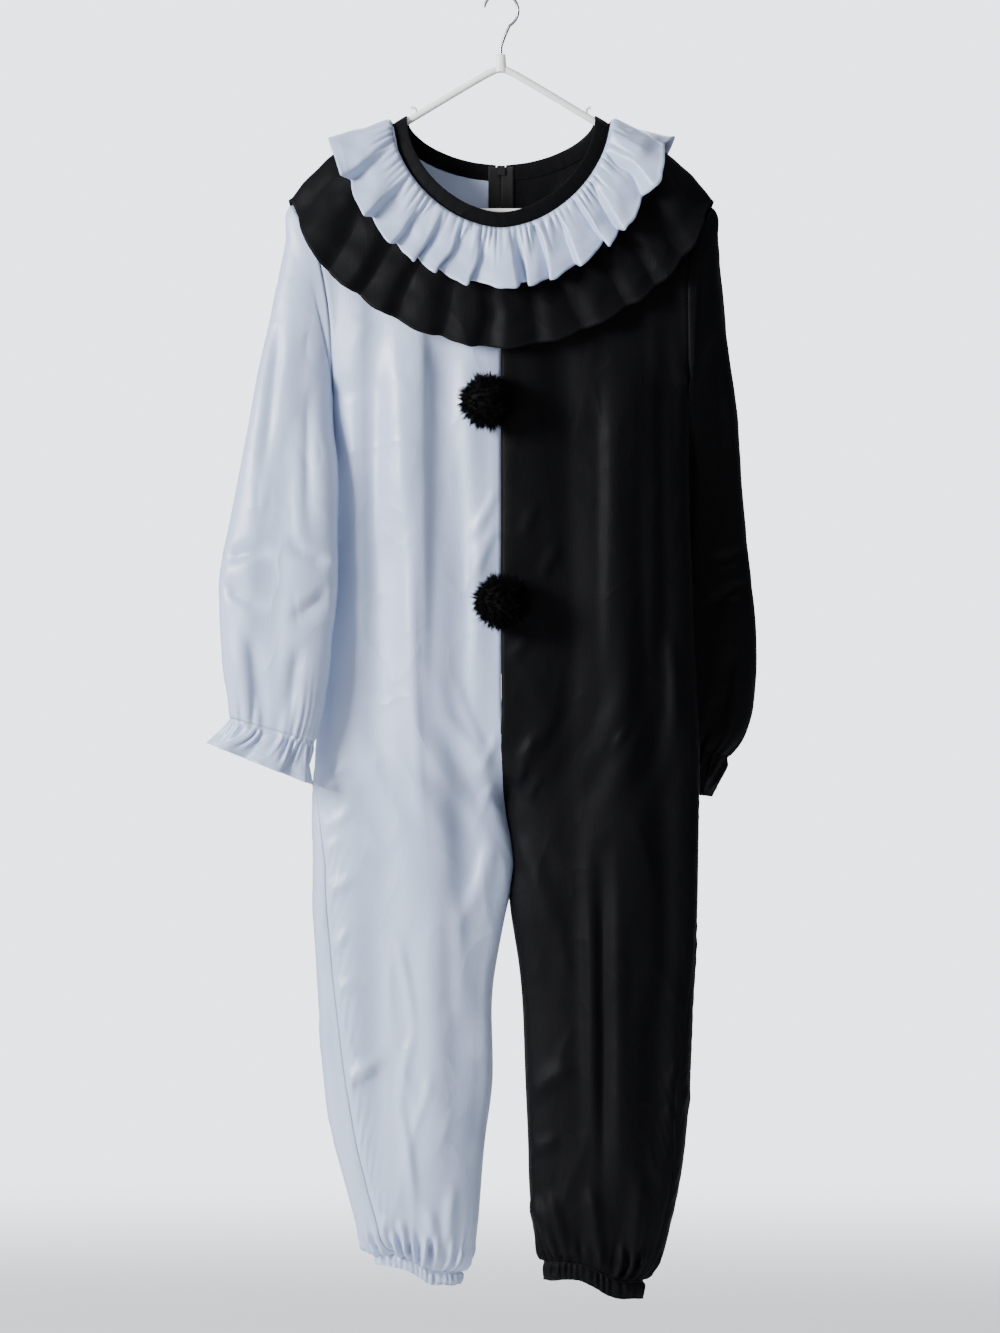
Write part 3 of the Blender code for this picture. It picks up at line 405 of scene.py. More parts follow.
def yoke_row(side, face, share):
    """One row between the top edges and the underarm."""
    forward = -1.0 if face == "front" else 1.0
    depth = row_at(BODY, UNDERARM)[4]
    edge = armhole_edge(side, share)[0]
    edge.y = abs(edge.y) * forward
    hollow = abs(edge.y) - SEAM / 2
    half = blend(abs(TIP[side][0]), abs(edge.x), ease(share, 0.0, 0.45))
    points = []
    for i, place in enumerate([0.0] + columns(0.0)):
        if i <= NECK_COLUMNS:
            top = neck_point(math.radians(NECK_ANGLES[i]), face)
            top.x *= side
        else:
            run = (i - NECK_COLUMNS) / (PANEL_COLUMNS - NECK_COLUMNS)
            x = side * blend(NECK_HALF, abs(TIP[side][0]), run)
            top = Vector((x, forward * SEAM / 2, shoulder_height(x)))
        if i == NECK_COLUMNS:
            top.y = forward * SEAM / 2
        spread = share ** blend(1.6, 0.8, ease(i, 1.0, NECK_COLUMNS - 1.0))
        x = side * half * blend(abs(top.x) / abs(TIP[side][0]), place, spread)
        power = blend(1.6, 0.4, ease(i, 1.0, NECK_COLUMNS - 0.5))
        y = blend(abs(top.y), depth * tube_profile(place, 0.0), share ** power)
        y += hollow * (i / PANEL_COLUMNS) ** 2 * 0.85
        z = blend(top.z, UNDERARM, share)
        points.append(Vector((x, forward * (y + long_folds(side, face, x, z)), z)))
    points[0].x = side * centre_gap(face, points[0].z)
    return points + [edge]


def body_row(side, face, z):
    """One row of body or leg at a height."""
    forward = -1.0 if face == "front" else 1.0
    values = row_at(BODY, z)
    outer, inner = (values[0], values[1]) if side < 0 else (values[3], values[2])
    depth = values[4]
    run = min(max((CROTCH_START - z) / (CROTCH_START - CROTCH), 0.0), 1.0)
    turned = 1.0 - math.sqrt(1.0 - run * run)
    inner += side * (centre_gap(face, z) + turned * SEAM)
    points = [Vector((inner, forward * max(depth * (1.0 - turned), SEAM / 2), z))]
    for place in columns(ease(z, *LEG_FORM)):
        x = blend(inner, outer, place)
        y = depth * tube_profile(place, turned)
        y += long_folds(side, face, x, z) * min(1.0, 4.0 * place * (1.0 - place) + 0.1)
        points.append(Vector((x, forward * y, z)))
    return points + [Vector((outer, forward * SEAM / 2, z))]


def ankle_height(side, x):
    """The casing steps down once across the ankle, where its elastic lies aslant."""
    ankle = ANKLE[side]
    share = (x - ankle["outer"]) / (ankle["inner"] - ankle["outer"])
    return blend(ankle["z_outer"], ankle["z_inner"], ease(share, *CASING_STEP))


def panel_hem(side, face):
    """The leg's last row, gathered in to the ankle casing."""
    forward = -1.0 if face == "front" else 1.0
    ankle = ANKLE[side]
    points = []
    for place in [0.0] + columns(1.0) + [1.0]:
        x = blend(ankle["inner"], ankle["outer"], place)
        y = forward * max(ankle["depth"] * tube_profile(place, 1.0), SEAM / 2)
        points.append(Vector((x, y, ankle_height(side, x))))
    return points


def refine(grid, spacing, closed=False):
    """A grid of points with more rows, on a smooth curve down each column."""
    grid = np.asarray(grid, float)
    if closed:
        grid = np.concatenate([grid, grid[:1]])
    gaps = np.linalg.norm(np.diff(grid, axis=0), axis=2) + 1e-6
    slopes = np.diff(grid, axis=0) / gaps[..., None]
    tangents = np.empty_like(grid)
    tangents[0], tangents[-1] = slopes[0], slopes[-1]
    tangents[1:-1] = ((slopes[1:] * gaps[:-1, :, None] + slopes[:-1] * gaps[1:, :, None])
                      / (gaps[1:] + gaps[:-1])[..., None])
    if closed:
        tangents[0] = ((slopes[0] * gaps[-1, :, None] + slopes[-1] * gaps[0, :, None])
                       / (gaps[0] + gaps[-1])[:, None])
        tangents[-1] = tangents[0]
    fine = []
    for i in range(len(grid) - 1):
        count = math.ceil(np.max(gaps[i]) / spacing)
        for t in np.arange(count) / count:
            fine.append(curve_between(grid[i], grid[i + 1], gaps[i][:, None] * tangents[i],
                                      gaps[i][:, None] * tangents[i + 1], t))
    if not closed:
        fine.append(grid[-1])
    return np.array(fine)


def refine_across(grid, spacing, closed=False):
    return refine(np.asarray(grid, float).transpose(1, 0, 2), spacing, closed).transpose(1, 0, 2)


def outward_normals(grid, flip, closed=False):
    """The way off the cloth's outside at each point of a grid."""
    down = np.gradient(grid, axis=0)
    if closed:
        across = (np.roll(grid, -1, axis=1) - np.roll(grid, 1, axis=1)) / 2
    else:
        across = np.gradient(grid, axis=1)
    normal = np.cross(down, across) * (1.0 if flip else -1.0)
    return normal / (np.linalg.norm(normal, axis=2, keepdims=True) + 1e-12)


def smooth_step(values, start, end):
    share = np.clip((values - start) / (end - start), 0.0, 1.0)
    return share * share * (3.0 - 2.0 * share)


CREASE_RISE = 1.55         # satin of this weight stands up further than thin lining satin
CRUMPLE_RISE = 0.0018


def creased(x, z, creases):
    """Height of the listed creases over places on a panel."""
    total = np.zeros_like(x)
    for x_start, z_start, x_end, z_end, bow, near, far, height in np.array(creases) / 1000.0:
        along = np.array((x_end - x_start, z_end - z_start))
        length = np.linalg.norm(along)
        along /= length
        run = ((x - x_start) * along[0] + (z - z_start) * along[1]) / length
        aside = (x - x_start) * -along[1] + (z - z_start) * along[0]
        aside = aside - bow * 4.0 * np.clip(run, 0, 1) * (1.0 - np.clip(run, 0, 1))
        width = np.where(aside < 0.0, near, far)
        fade = smooth_step(run, -0.05, 0.30) * (1.0 - smooth_step(run, 0.62, 1.08))
        total += CREASE_RISE * height * fade * np.exp(-(aside / width) ** 2)
    return total


def ripple(grid, size, stretch, seed):
    """Soft unevenness of slack cloth: waves of about the given size, longer down the cloth."""
    flat = grid.reshape(-1, 3)
    heights = [noise.noise(Vector((p[0] / size + seed, p[1] / size, p[2] / (size * stretch))))
               for p in flat]
    return np.array(heights).reshape(grid.shape[:2])


def crumpled(grid, size, stretch, seed):
    """Sharp little ridges that wander over the cloth and die out, as packing leaves them."""
    ridge = (1.0 - 3.2 * np.abs(ripple(grid, size, stretch, seed + 20.0))).clip(0.0, 1.0) ** 1.6
    patches = smooth_step(ripple(grid, 1.3 * size, 1.0, seed + 40.0), -0.05, 0.30)
    return CRUMPLE_RISE * ridge * patches


def satin(name, base, shade, roughness, gloss):
    """Polyester satin: smooth floats of bright filament lie along the warp, so it has a soft
    lengthwise sheen, faint slubs, and the slight crumple of cloth that was packed folded."""
    material, tree, shader = new_material(name, Roughness=roughness, IOR=1.57,
                                          Specular_IOR_Level=gloss)
    threads = add_node(tree, "ShaderNodeUVMap")
    place = add_node(tree, "ShaderNodeTexCoord")
    # slubs run along the warp, about 1.5 mm apart and 30 mm long
    stretch = add_node(tree, "ShaderNodeMapping", {"Scale": (650.0, 33.0, 1.0)},
                       {"Vector": threads.outputs["UV"]})
    slubs = add_node(tree, "ShaderNodeTexNoise", {"Scale": 1.0, "Detail": 3.0},
                     {"Vector": stretch.outputs["Vector"]})
    # dye and soiling vary over about 150 mm
    cloud = add_node(tree, "ShaderNodeTexNoise", {"Scale": 6.5, "Detail": 4.0},
                     {"Vector": place.outputs["Object"]})
    tone = add_node(tree, "ShaderNodeMapRange", {"From Min": 0.3, "From Max": 0.7},
                    {"Value": cloud.outputs["Fac"]})
    colour = add_node(tree, "ShaderNodeMix", {"A": linear(shade), "B": linear(base)},
                      {"Factor": tone.outputs["Result"]}, data_type="RGBA")
    tree.links.new(colour.outputs["Result"], shader.inputs["Base Color"])
    rough = add_node(tree, "ShaderNodeMapRange",
                     {"From Min": 0.25, "From Max": 0.75,
                      "To Min": roughness - 0.05, "To Max": roughness + 0.06},
                     {"Value": slubs.outputs["Fac"]})
    tree.links.new(rough.outputs["Result"], shader.inputs["Roughness"])
    # creases left by folding and packing, about 30 mm apart
    crumple = add_node(tree, "ShaderNodeTexNoise", {"Scale": 13.0, "Detail": 3.0, "Roughness": 0.42,
                                                    "Offset": 0.9, "Gain": 1.1, "Distortion": 0.5},
                       {"Vector": place.outputs["Object"]}, noise_type="RIDGED_MULTIFRACTAL")
    first = add_node(tree, "ShaderNodeBump", {"Strength": 0.30, "Distance": 0.0030},
                     {"Height": crumple.outputs["Fac"]})
    second = add_node(tree, "ShaderNodeBump", {"Strength": 0.45, "Distance": 0.0005},
                      {"Height": slubs.outputs["Fac"], "Normal": first.outputs["Normal"]})
    # the weave itself is 0.25 mm; it is drawn at 0.9 mm so that it shows from near
    weave = add_node(tree, "ShaderNodeTexWave", {"Scale": 349.0, "Distortion": 0.6, "Detail": 1.0},
                     {"Vector": threads.outputs["UV"]}, bands_direction="DIAGONAL")
    third = add_node(tree, "ShaderNodeBump", {"Strength": 0.16, "Distance": 0.0002},
                     {"Height": weave.outputs["Fac"], "Normal": second.outputs["Normal"]})
    tree.links.new(third.outputs["Normal"], shader.inputs["Normal"])
    return material


def lengths(grid, closed=False):
    """Each point's place on the flat cloth, in metres across and down."""
    if closed:
        grid = np.concatenate([grid, grid[:, :1]], axis=1)
    across = np.zeros(grid.shape[:2])
    across[:, 1:] = np.cumsum(np.linalg.norm(np.diff(grid, axis=1), axis=2), axis=1)
    down = np.zeros(grid.shape[:2])
    down[1:] = np.cumsum(np.linalg.norm(np.diff(grid, axis=0), axis=2), axis=0)
    middle = across[:, -1:] / 2
    return across - middle, down


def cloth_piece(name, grid, material, closed=False, flip=False, wall=WALL):
    """A thin shell of cloth on a grid of points, in place of the solid of that name. Its UVs
    are each point's place on the flat cloth."""
    rows, width = grid.shape[:2]
    corners = grid_corners(rows, width, closed)
    corners = corners[::-1] if flip else corners
    piece = mesh_piece(f"{name}_cloth", grid.reshape(-1, 3).tolist(),
                       corner_faces(corners, width).tolist(), material)
    across, down = lengths(grid, closed)
    flat = np.stack([np.stack([across[spot], -down[spot]], axis=1) for spot in corners], axis=1)
    piece.data.uv_layers.new(name="cloth").data.foreach_set("uv", flat.ravel())
    if wall:
        solid = piece.modifiers.new("wall", "SOLIDIFY")
        solid.thickness = wall
        solid.offset = 0.0
        solid.use_even_offset = False
    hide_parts(name)
    return piece


# The yoke's rows, as shares of the way down to the underarm
YOKE_SHARES = (0, 0.012, 0.04, 0.08, 0.13, 0.20, 0.28, 0.36, 0.45, 0.55, 0.65, 0.75, 0.85, 0.94, 1)
BODY_STEP = 0.030
PANEL_FOOT = -1.58
PANEL_SPACING = (0.0072, 0.0052)       # from point to point, down and across
# how far towards the casing the cloth blouses over it: across, front to back, and down
BLOUSE = (0.38, 0.30, 0.62)
ROLL_STEP = 0.0005         # how closely its seam's new place is looked for
# How far the side seam rolls to the front of each leg: height and distance from the edge
SEAM_ROLL = {
    -1: ((-0.98, 0.0), (-1.10, 0.016), (-1.24, 0.019), (-1.33, 0.025), (-1.40, 0.029),
         (-1.48, 0.029), (-1.57, 0.027), (-1.62, 0.026)),
    1: ((-1.15, 0.0), (-1.23, 0.003), (-1.335, 0.009), (-1.365, 0.018), (-1.43, 0.018),
        (-1.51, 0.009), (-1.62, 0.008)),
}


def panel_grid(side, face):
    heights = np.arange(UNDERARM - BODY_STEP, PANEL_FOOT + BODY_STEP / 2, -BODY_STEP)
    rows = [yoke_row(side, face, share) for share in YOKE_SHARES]
    rows += [body_row(side, face, z) for z in heights]
    rows.append(body_row(side, face, PANEL_FOOT))
    hem = panel_hem(side, face)
    blouse = [a.lerp(b, BLOUSE[2]) for a, b in zip(rows[-1], hem)]
    for point, a, b in zip(blouse, rows[-1], hem):
        point.x, point.y = blend(a.x, b.x, BLOUSE[0]), blend(a.y, b.y, BLOUSE[1])
    grid = refine(rows + [blouse, hem], PANEL_SPACING[0])
    return refine_across(grid, PANEL_SPACING[1])


def distances(points):
    """How far along a line each of its points lies."""
    return np.concatenate([[0.0], np.cumsum(np.linalg.norm(np.diff(points, axis=0), axis=1))])


def read_along(places, arc, points):
    """A line, or ways off it, read at distances along it."""
    return np.stack([np.interp(places, arc, points[:, k]) for k in range(3)], axis=-1)


def roll_seam(side, front, back):
    """Moves the side seam round to the front of the leg: the back piece wraps the edge."""
    heights, rolls = zip(*SEAM_ROLL[side][::-1])
    for r in range(len(front)):
        roll = np.interp(front[r, -1, 2], heights, rolls)
        if roll <= 0.0:
            continue
        ring = np.concatenate([front[r], back[r, ::-1][1:]])
        arc = distances(ring)
        edge = arc[len(front[r]) - 1]
        seam = edge
        while seam > 0.0 and abs(np.interp(seam, arc, ring[:, 0]) - front[r, -1, 0]) < roll:
            seam -= ROLL_STEP
        front_arc = arc[:len(front[r])] * (seam - SEAM / 2) / edge
        back_arc = (arc[-1] - arc[len(front[r]) - 1:])[::-1]
        back_arc = arc[-1] - back_arc * (arc[-1] - seam - SEAM / 2) / (arc[-1] - edge)
        front[r], back[r] = read_along(front_arc, arc, ring), read_along(back_arc, arc, ring)


# Creases, one by one, in millimetres: x and height at the start and the end, bow, half
# width on its two sides, and its rise. It is a ridge where that is positive, else a trough.
CREASES = {
    (-1, "front"): (
        (-140, -430, -125, -700, 6, 20, 13, 3.4),
        (-106, -300, -100, -960, 2, 28, 10, 4),
        (-112, -690, -96, -1080, -4, 10, 6, 2.2),
        (-178, -330, -172, -900, -3, 16, 12, 3),
        (-4, -620, -42, -690, 3, 4, 6, 2.2),
        (-4, -668, -34, -742, -2, 4, 5, 2),
        (-6, -742, -36, -792, 2, 4, 5, 1.8),
        (-4, -930, -32, -985, 2, 4, 6, 2.2),
        (-6, -990, -28, -1036, -2, 4, 5, 1.8),
        (-46, -460, -34, -800, 5, 12, 18, 3),
        (-20, -620, -26, -960, -6, 10, 14, 2.2),
        (-192, -460, -180, -900, 4, 12, 16, 2.4),
        (-236, -1020, -190, -975, 4, 6, 9, 2.6),
        (-232, -1058, -186, -1030, -3, 5, 8, 2.4),
        (-236, -1105, -200, -1066, 3, 6, 7, 2.4),
        (-230, -1150, -184, -1118, 4, 6, 9, 2.6),
        (-228, -1220, -190, -1180, -3, 5, 8, 2.2),
        (-232, -1275, -178, -1250, 4, 6, 9, 2.6),
        (-212, -1398, -142, -1344, 6, 6, 11, 4.2),
        (-224, -1372, -196, -1392, 0, 5, 7, 2.4),
        (-220, -1450, -178, -1442, 3, 5, 8, 2.6),
        (-200, -1520, -168, -1488, 3, 5, 8, 2.6),
        (-132, -1190, -110, -1320, 4, 6, 5, 2.2),
        (-108, -1300, -128, -1420, -4, 5, 7, 2.2),
        (-88, -1360, -112, -1440, 3, 6, 6, 1.8),
        (-128, -1400, -110, -1540, 4, 8, 6, 2.6),
        (-60, -1120, -52, -1320, 4, 10, 14, 2.6),
        (-10, -1000, -80, -900, -6, 8, 12, 2.4),
        (-6, -985, -60, -860, 4, 6, 10, 2),
        (-12, -1060, -56, -1180, 6, 8, 12, 2.6),
        (-154, -1575, -136, -1545, 4, 6, 7, 4),
        (-134, -1546, -118, -1590, 4, 6, 7, 4),
        (-92, -1530, -86, -1600, 2, 7, 8, 3.4),
        (-60, -1500, -66, -1600, -3, 7, 8, 3.2),
    ),
    (1, "front"): (
        (98, -330, 104, -1050, 3, 18, 26, 2.6),
        (196, -340, 192, -960, -3, 10, 16, 3),
        (52, -740, 74, -696, 3, 6, 8, 2.2),
        (8, -842, 40, -804, -3, 6, 8, 2.6),
        (28, -690, 48, -640, 2, 6, 8, 1.6),
        (22, -1000, 34, -970, 2, 5, 7, 2.2),
        (30, -968, 44, -938, 2, 5, 7, 2.2),
        (36, -1020, 52, -985, 2, 5, 7, 1.8),
        (146, -952, 160, -926, 2, 4, 6, 1.8),
        (210, -800, 218, -935, 4, 9, 8, 3),
        (136, -460, 132, -900, 4, 10, 12, 2.6),
        (110, -1070, 116, -1510, 3, 12, 7, 3.6),
        (126, -1080, 129, -1515, 0, 6, 6, -3.6),
        (144, -1060, 147, -1520, 2, 7, 14, 3.4),
        (36, -1396, 98, -1356, 6, 10, 14, 4.2),
        (40, -1460, 76, -1444, -2, 6, 10, 2.2),
        (38, -1520, 72, -1600, 4, 9, 10, 4.8),
        (60, -1510, 94, -1600, -3, 8, 9, 4),
        (112, -1500, 121, -1606, 2, 9, 8, 4.4),
        (176, -1480, 160, -1620, 3, 10, 10, 4),
        (214, -1376, 238, -1346, 2, 6, 8, 3),
        (206, -1420, 232, -1404, 2, 6, 8, 2.4),
        (20, -1060, 70, -1200, 6, 12, 14, 2.6),
        (12, -990, 80, -880, -6, 10, 14, 2.4),
        (190, -1080, 184, -1300, 4, 12, 14, 2.4),
    ),
    (-1, "back"): (
        (-160, -460, -150, -760, 5, 16, 12, 3.2),
        (-94, -500, -100, -920, -5, 12, 15, 2.8),
        (-30, -420, -36, -740, 4, 12, 14, 2.6),
        (-14, -990, -85, -900, 6, 8, 13, 3),
        (-12, -1010, -120, -980, -8, 9, 14, 3.4),
        (-16, -1050, -90, -1110, 6, 8, 12, 3.2),
        (-230, -1060, -184, -1024, 3, 6, 9, 2.6),
        (-228, -1180, -176, -1140, -4, 6, 10, 2.8),
        (-150, -1290, -70, -1330, 8, 10, 12, 4),
        (-190, -1340, -110, -1300, -6, 8, 12, 3.6),
        (-140, -1350, -60, -1390, 6, 8, 10, 3),
        (-120, -1400, -112, -1590, 4, 9, 8, 3.6),
        (-160, -1500, -140, -1590, 4, 8, 8, 4),
        (-70, -1480, -82, -1600, -4, 8, 9, 4),
    ),
    (1, "back"): (
        (146, -470, 156, -820, -5, 12, 16, 3.2),
        (86, -440, 80, -860, 4, 14, 12, 2.8),
        (210, -620, 206, -940, 4, 10, 12, 2.8),
        (14, -985, 96, -910, 6, 8, 13, 3.2),
        (12, -1015, 130, -990, -6, 9, 14, 3.2),
        (20, -1055, 100, -1130, 6, 9, 12, 3.2),
        (240, -1100, 190, -1060, 3, 7, 9, 2.8),
        (236, -1240, 190, -1205, -4, 7, 10, 2.8),
        (70, -1300, 160, -1340, 8, 10, 12, 4),
        (210, -1350, 130, -1310, 6, 8, 12, 3.4),
        (80, -1380, 170, -1400, -5, 8, 10, 3),
        (132, -1430, 128, -1600, 4, 9, 8, 3.8),
        (180, -1500, 166, -1610, 4, 8, 8, 4),
        (74, -1500, 86, -1600, -4, 8, 9, 4),
    ),
}
GATHERS = 27               # gathers that the elastic makes round an ankle
GATHER_HEIGHT = 0.0029
GATHER_REACH = 0.020       # how far they run up from the casing
BLOUSE_AT, BLOUSE_REACH = 0.022, 0.018       # where above the casing the leg swells over it


def ankle_gathers(side, x, y):
    """Height of the gathers round an ankle, from the way round its middle."""
    ankle = ANKLE[side]
    middle = (ankle["outer"] + ankle["inner"]) / 2
    half = abs(ankle["outer"] - ankle["inner"]) / 2
    way = np.arctan2(y / ankle["depth"], (x - middle) / half)
    drift = 1.7 * np.sin(3.0 * way + side) + 1.1 * np.sin(7.0 * way)
    return GATHER_HEIGHT * (np.cos(GATHERS * way + drift) + 0.45 * np.cos((GATHERS + 8) * way))


LEGS_PRESS = 0.0022        # how far each inside leg bulges towards the other
LEGS_PRESS_WIDTH = 0.014
# how far below the hook the centre seam gives way to two legs, and they stop pressing
LEGS_PART, LEGS_FREE = (0.90, 0.95), (1.12, 1.17)
SLACK_RISE = 0.0024        # the cloth's soft unevenness
SLACK = (0.036, 5.0)       # its size, and how many times longer it is down the cloth
CRUMPLES = (0.050, 2.6)    # the same of the crumples
CRUMPLED = (0.80, 1.45)    # how far below the hook they grow from half to their full rise
# how near the seams, the top edge and the hem the creases die out
SEAM_CLEAR, TOP_CLEAR, HEM_CLEAR = 0.010, 0.030, 0.012
PUCKER_LENGTH = 0.027      # from one pucker beside a seam to the next
PUCKERED = (0.50, 0.62)    # how far below the hook they start
SIDE_PUCKER, CENTRE_PUCKER = (0.015, 0.0013), (0.011, 0.0008)      # reach and rise
SEAM_DIP = 0.0008          # how far stitching draws a seam in
SEAM_SPREAD = 0.004
# The two satins, and each half: its side, its name, its satin and that satin's name
white_satin = satin("white_satin_cloth", "#B1BEDA", "#A6B3D1", 0.37, 0.5)
black_satin = satin("black_satin_cloth", "#0F0F11", "#0C0C0E", 0.52, 0.038)
HALVES = ((-1, "left", white_satin, "white_satin"), (1, "right", black_satin, "black_satin"))


def panel_relief(side, face, grid):
    """How far the creases, puckers and gathers stand off a panel's easy form."""
    across, down = lengths(grid)
    to_centre, to_side, hem = across - across[:, :1], across[:, -1:] - across, down[-1:] - down
    below = -grid[..., 2]
    height = creased(grid[..., 0], grid[..., 2], CREASES[side, face])
    height += SLACK_RISE * ripple(grid, *SLACK, 3.1 * side + len(face))
    height += crumpled(grid, *CRUMPLES, 7.7 * side + len(face)) \
        * (0.5 + 0.5 * smooth_step(below, *CRUMPLED))
    # the sewing puckers the cloth aslant beside both seams
    for beside, (reach, rise) in ((to_side, SIDE_PUCKER), (to_centre, CENTRE_PUCKER)):
        waver = ripple(grid, 0.060, 1.0, 4.0 + rise * 900.0)
        waves = np.cos(2 * np.pi * (down + 0.5 * beside) / PUCKER_LENGTH + 5.0 * waver)
        height += rise * waves * (0.4 + 1.2 * np.abs(waver)) \
            * np.exp(-beside / reach) * smooth_step(below, *PUCKERED)
    height *= smooth_step(to_centre, 0.0, SEAM_CLEAR) * smooth_step(to_side, 0.0, SEAM_CLEAR) \
        * smooth_step(down, 0.0, TOP_CLEAR) * smooth_step(hem, 0.0, HEM_CLEAR)
    # the seams draw in a little
    at_legs = smooth_step(below, *LEGS_PART)
    drawn = np.exp(-(to_centre / SEAM_SPREAD) ** 2) * (1.0 - at_legs) \
        + np.exp(-(to_side / SEAM_SPREAD) ** 2)
    height -= SEAM_DIP * drawn * smooth_step(down, 0.0, TOP_CLEAR)
    gathered = ankle_gathers(side, grid[..., 0], grid[..., 1]) * smooth_step(hem, 0.0, 0.005) \
        * (0.45 + 1.5 * np.abs(ripple(grid, 0.020, 1.0, 31.0)))
    # they die out upwards, then swell again where the cloth blouses
    height += gathered * np.exp(-hem / GATHER_REACH)
    height += 1.6 * gathered * np.exp(-((hem - BLOUSE_AT) / BLOUSE_REACH) ** 2) \
        * (0.6 + 0.8 * ripple(grid, 0.050, 1.0, 5.0))
    return height, at_legs, to_centre


def make_body():
    panels = {}
    for side, side_name, material, slot in HALVES:
        grids = {face: panel_grid(side, face) for face in ("front", "back")}
        roll_seam(side, grids["front"], grids["back"])
        for face, grid in grids.items():
            flip = (side < 0) != (face == "front")
            height, at_legs, to_centre = panel_relief(side, face, grid)
            grid = grid + outward_normals(grid, flip) * height[..., None]
            # the legs press together below the crotch
            pressed = at_legs * (1.0 - smooth_step(-grid[..., 2], *LEGS_FREE)) \
                * np.exp(-(to_centre / LEGS_PRESS_WIDTH) ** 2)
            grid[..., 0] -= side * LEGS_PRESS * pressed
            name = f"{face}_{side_name}"
            piece = cloth_piece(name, grid, material, flip=flip)
            panels[name] = grid
    return panels


panels = make_body()


# ---- Sleeves ----------------------------------------------------------------
# Set-in sleeves of the same two satins, each cut in one piece with a seam under the arm and
# sewn into its armhole. They hang slack and a little bent, so they crease at the elbow.

# One row a ring: x and height of the outer edge, x and height of the inner edge, distance to
# the back, half depth
SLEEVE = {
    -1: (
        (-0.2745, -0.312, -0.2095, -0.509, -0.002, 0.030),
        (-0.2872, -0.373, -0.2085, -0.530, -0.010, 0.031),
        (-0.2998, -0.436, -0.2088, -0.552, -0.022, 0.031),
        (-0.3125, -0.506, -0.2064, -0.582, -0.036, 0.031),
        (-0.3238, -0.576, -0.2058, -0.620, -0.046, 0.031),
        (-0.3453, -0.690, -0.2056, -0.696, -0.051, 0.034),
        (-0.3517, -0.718, -0.2049, -0.722, -0.052, 0.035),
        (-0.3542, -0.808, -0.2125, -0.812, -0.054, 0.035),
        (-0.3490, -0.862, -0.2189, -0.872, -0.055, 0.034),
        (-0.3430, -0.890, -0.2260, -0.912, -0.055, 0.030),
        (-0.3403, -0.9146, -0.2366, -0.9437, -0.055, 0.022),
    ),
    1: (
        (0.2778, -0.315, 0.2340, -0.509, 0.004, 0.029),
        (0.2840, -0.376, 0.2318, -0.530, 0.014, 0.030),
        (0.2900, -0.442, 0.2308, -0.552, 0.030, 0.030),
        (0.2998, -0.510, 0.2256, -0.582, 0.046, 0.030),
        (0.3036, -0.578, 0.2215, -0.620, 0.057, 0.030),
        (0.3137, -0.702, 0.2090, -0.702, 0.065, 0.031),
        (0.3245, -0.810, 0.1975, -0.803, 0.067, 0.032),
        (0.3238, -0.869, 0.1960, -0.856, 0.067, 0.032),
        (0.3188, -0.911, 0.1980, -0.898, 0.067, 0.030),
        (0.3050, -0.945, 0.2030, -0.927, 0.066, 0.026),
        (0.2872, -0.9640, 0.2062, -0.9450, 0.066, 0.021),
    ),
}
ARMHOLE_MELT = (0.72, 0.45, 0.24, 0.10)     # how far each first ring keeps the armhole's form
SLEEVE_VALLEY = 0.22       # share of its depth that a hanging sleeve loses along its middle
STRIP = 0.0015             # width of the narrow first rows beside a seam
SLEEVE_SPACING = (0.0068, 0.0044)      # from point to point, down and round
SLEEVE_SLACK_RISE = 0.0018
SLEEVE_SLACK, SLEEVE_CRUMPLES = (0.032, 4.0), (0.034, 3.0)
ARMHOLE_CLEAR, WRIST_CLEAR = 0.035, 0.020      # how near them the creases die out
# how far the armhole's stitching draws the sleeve in, how far from its edge, and over what
ARMHOLE_DIP = (0.0006, 0.002, 0.003)
WRIST_GATHERS = 22
WRIST_RISE = 0.0027        # how high those gathers stand
WRIST_REACH = 0.024        # and how far they run up the sleeve
WRIST_HELD = 0.003         # the elastic holds them flatter as near as this
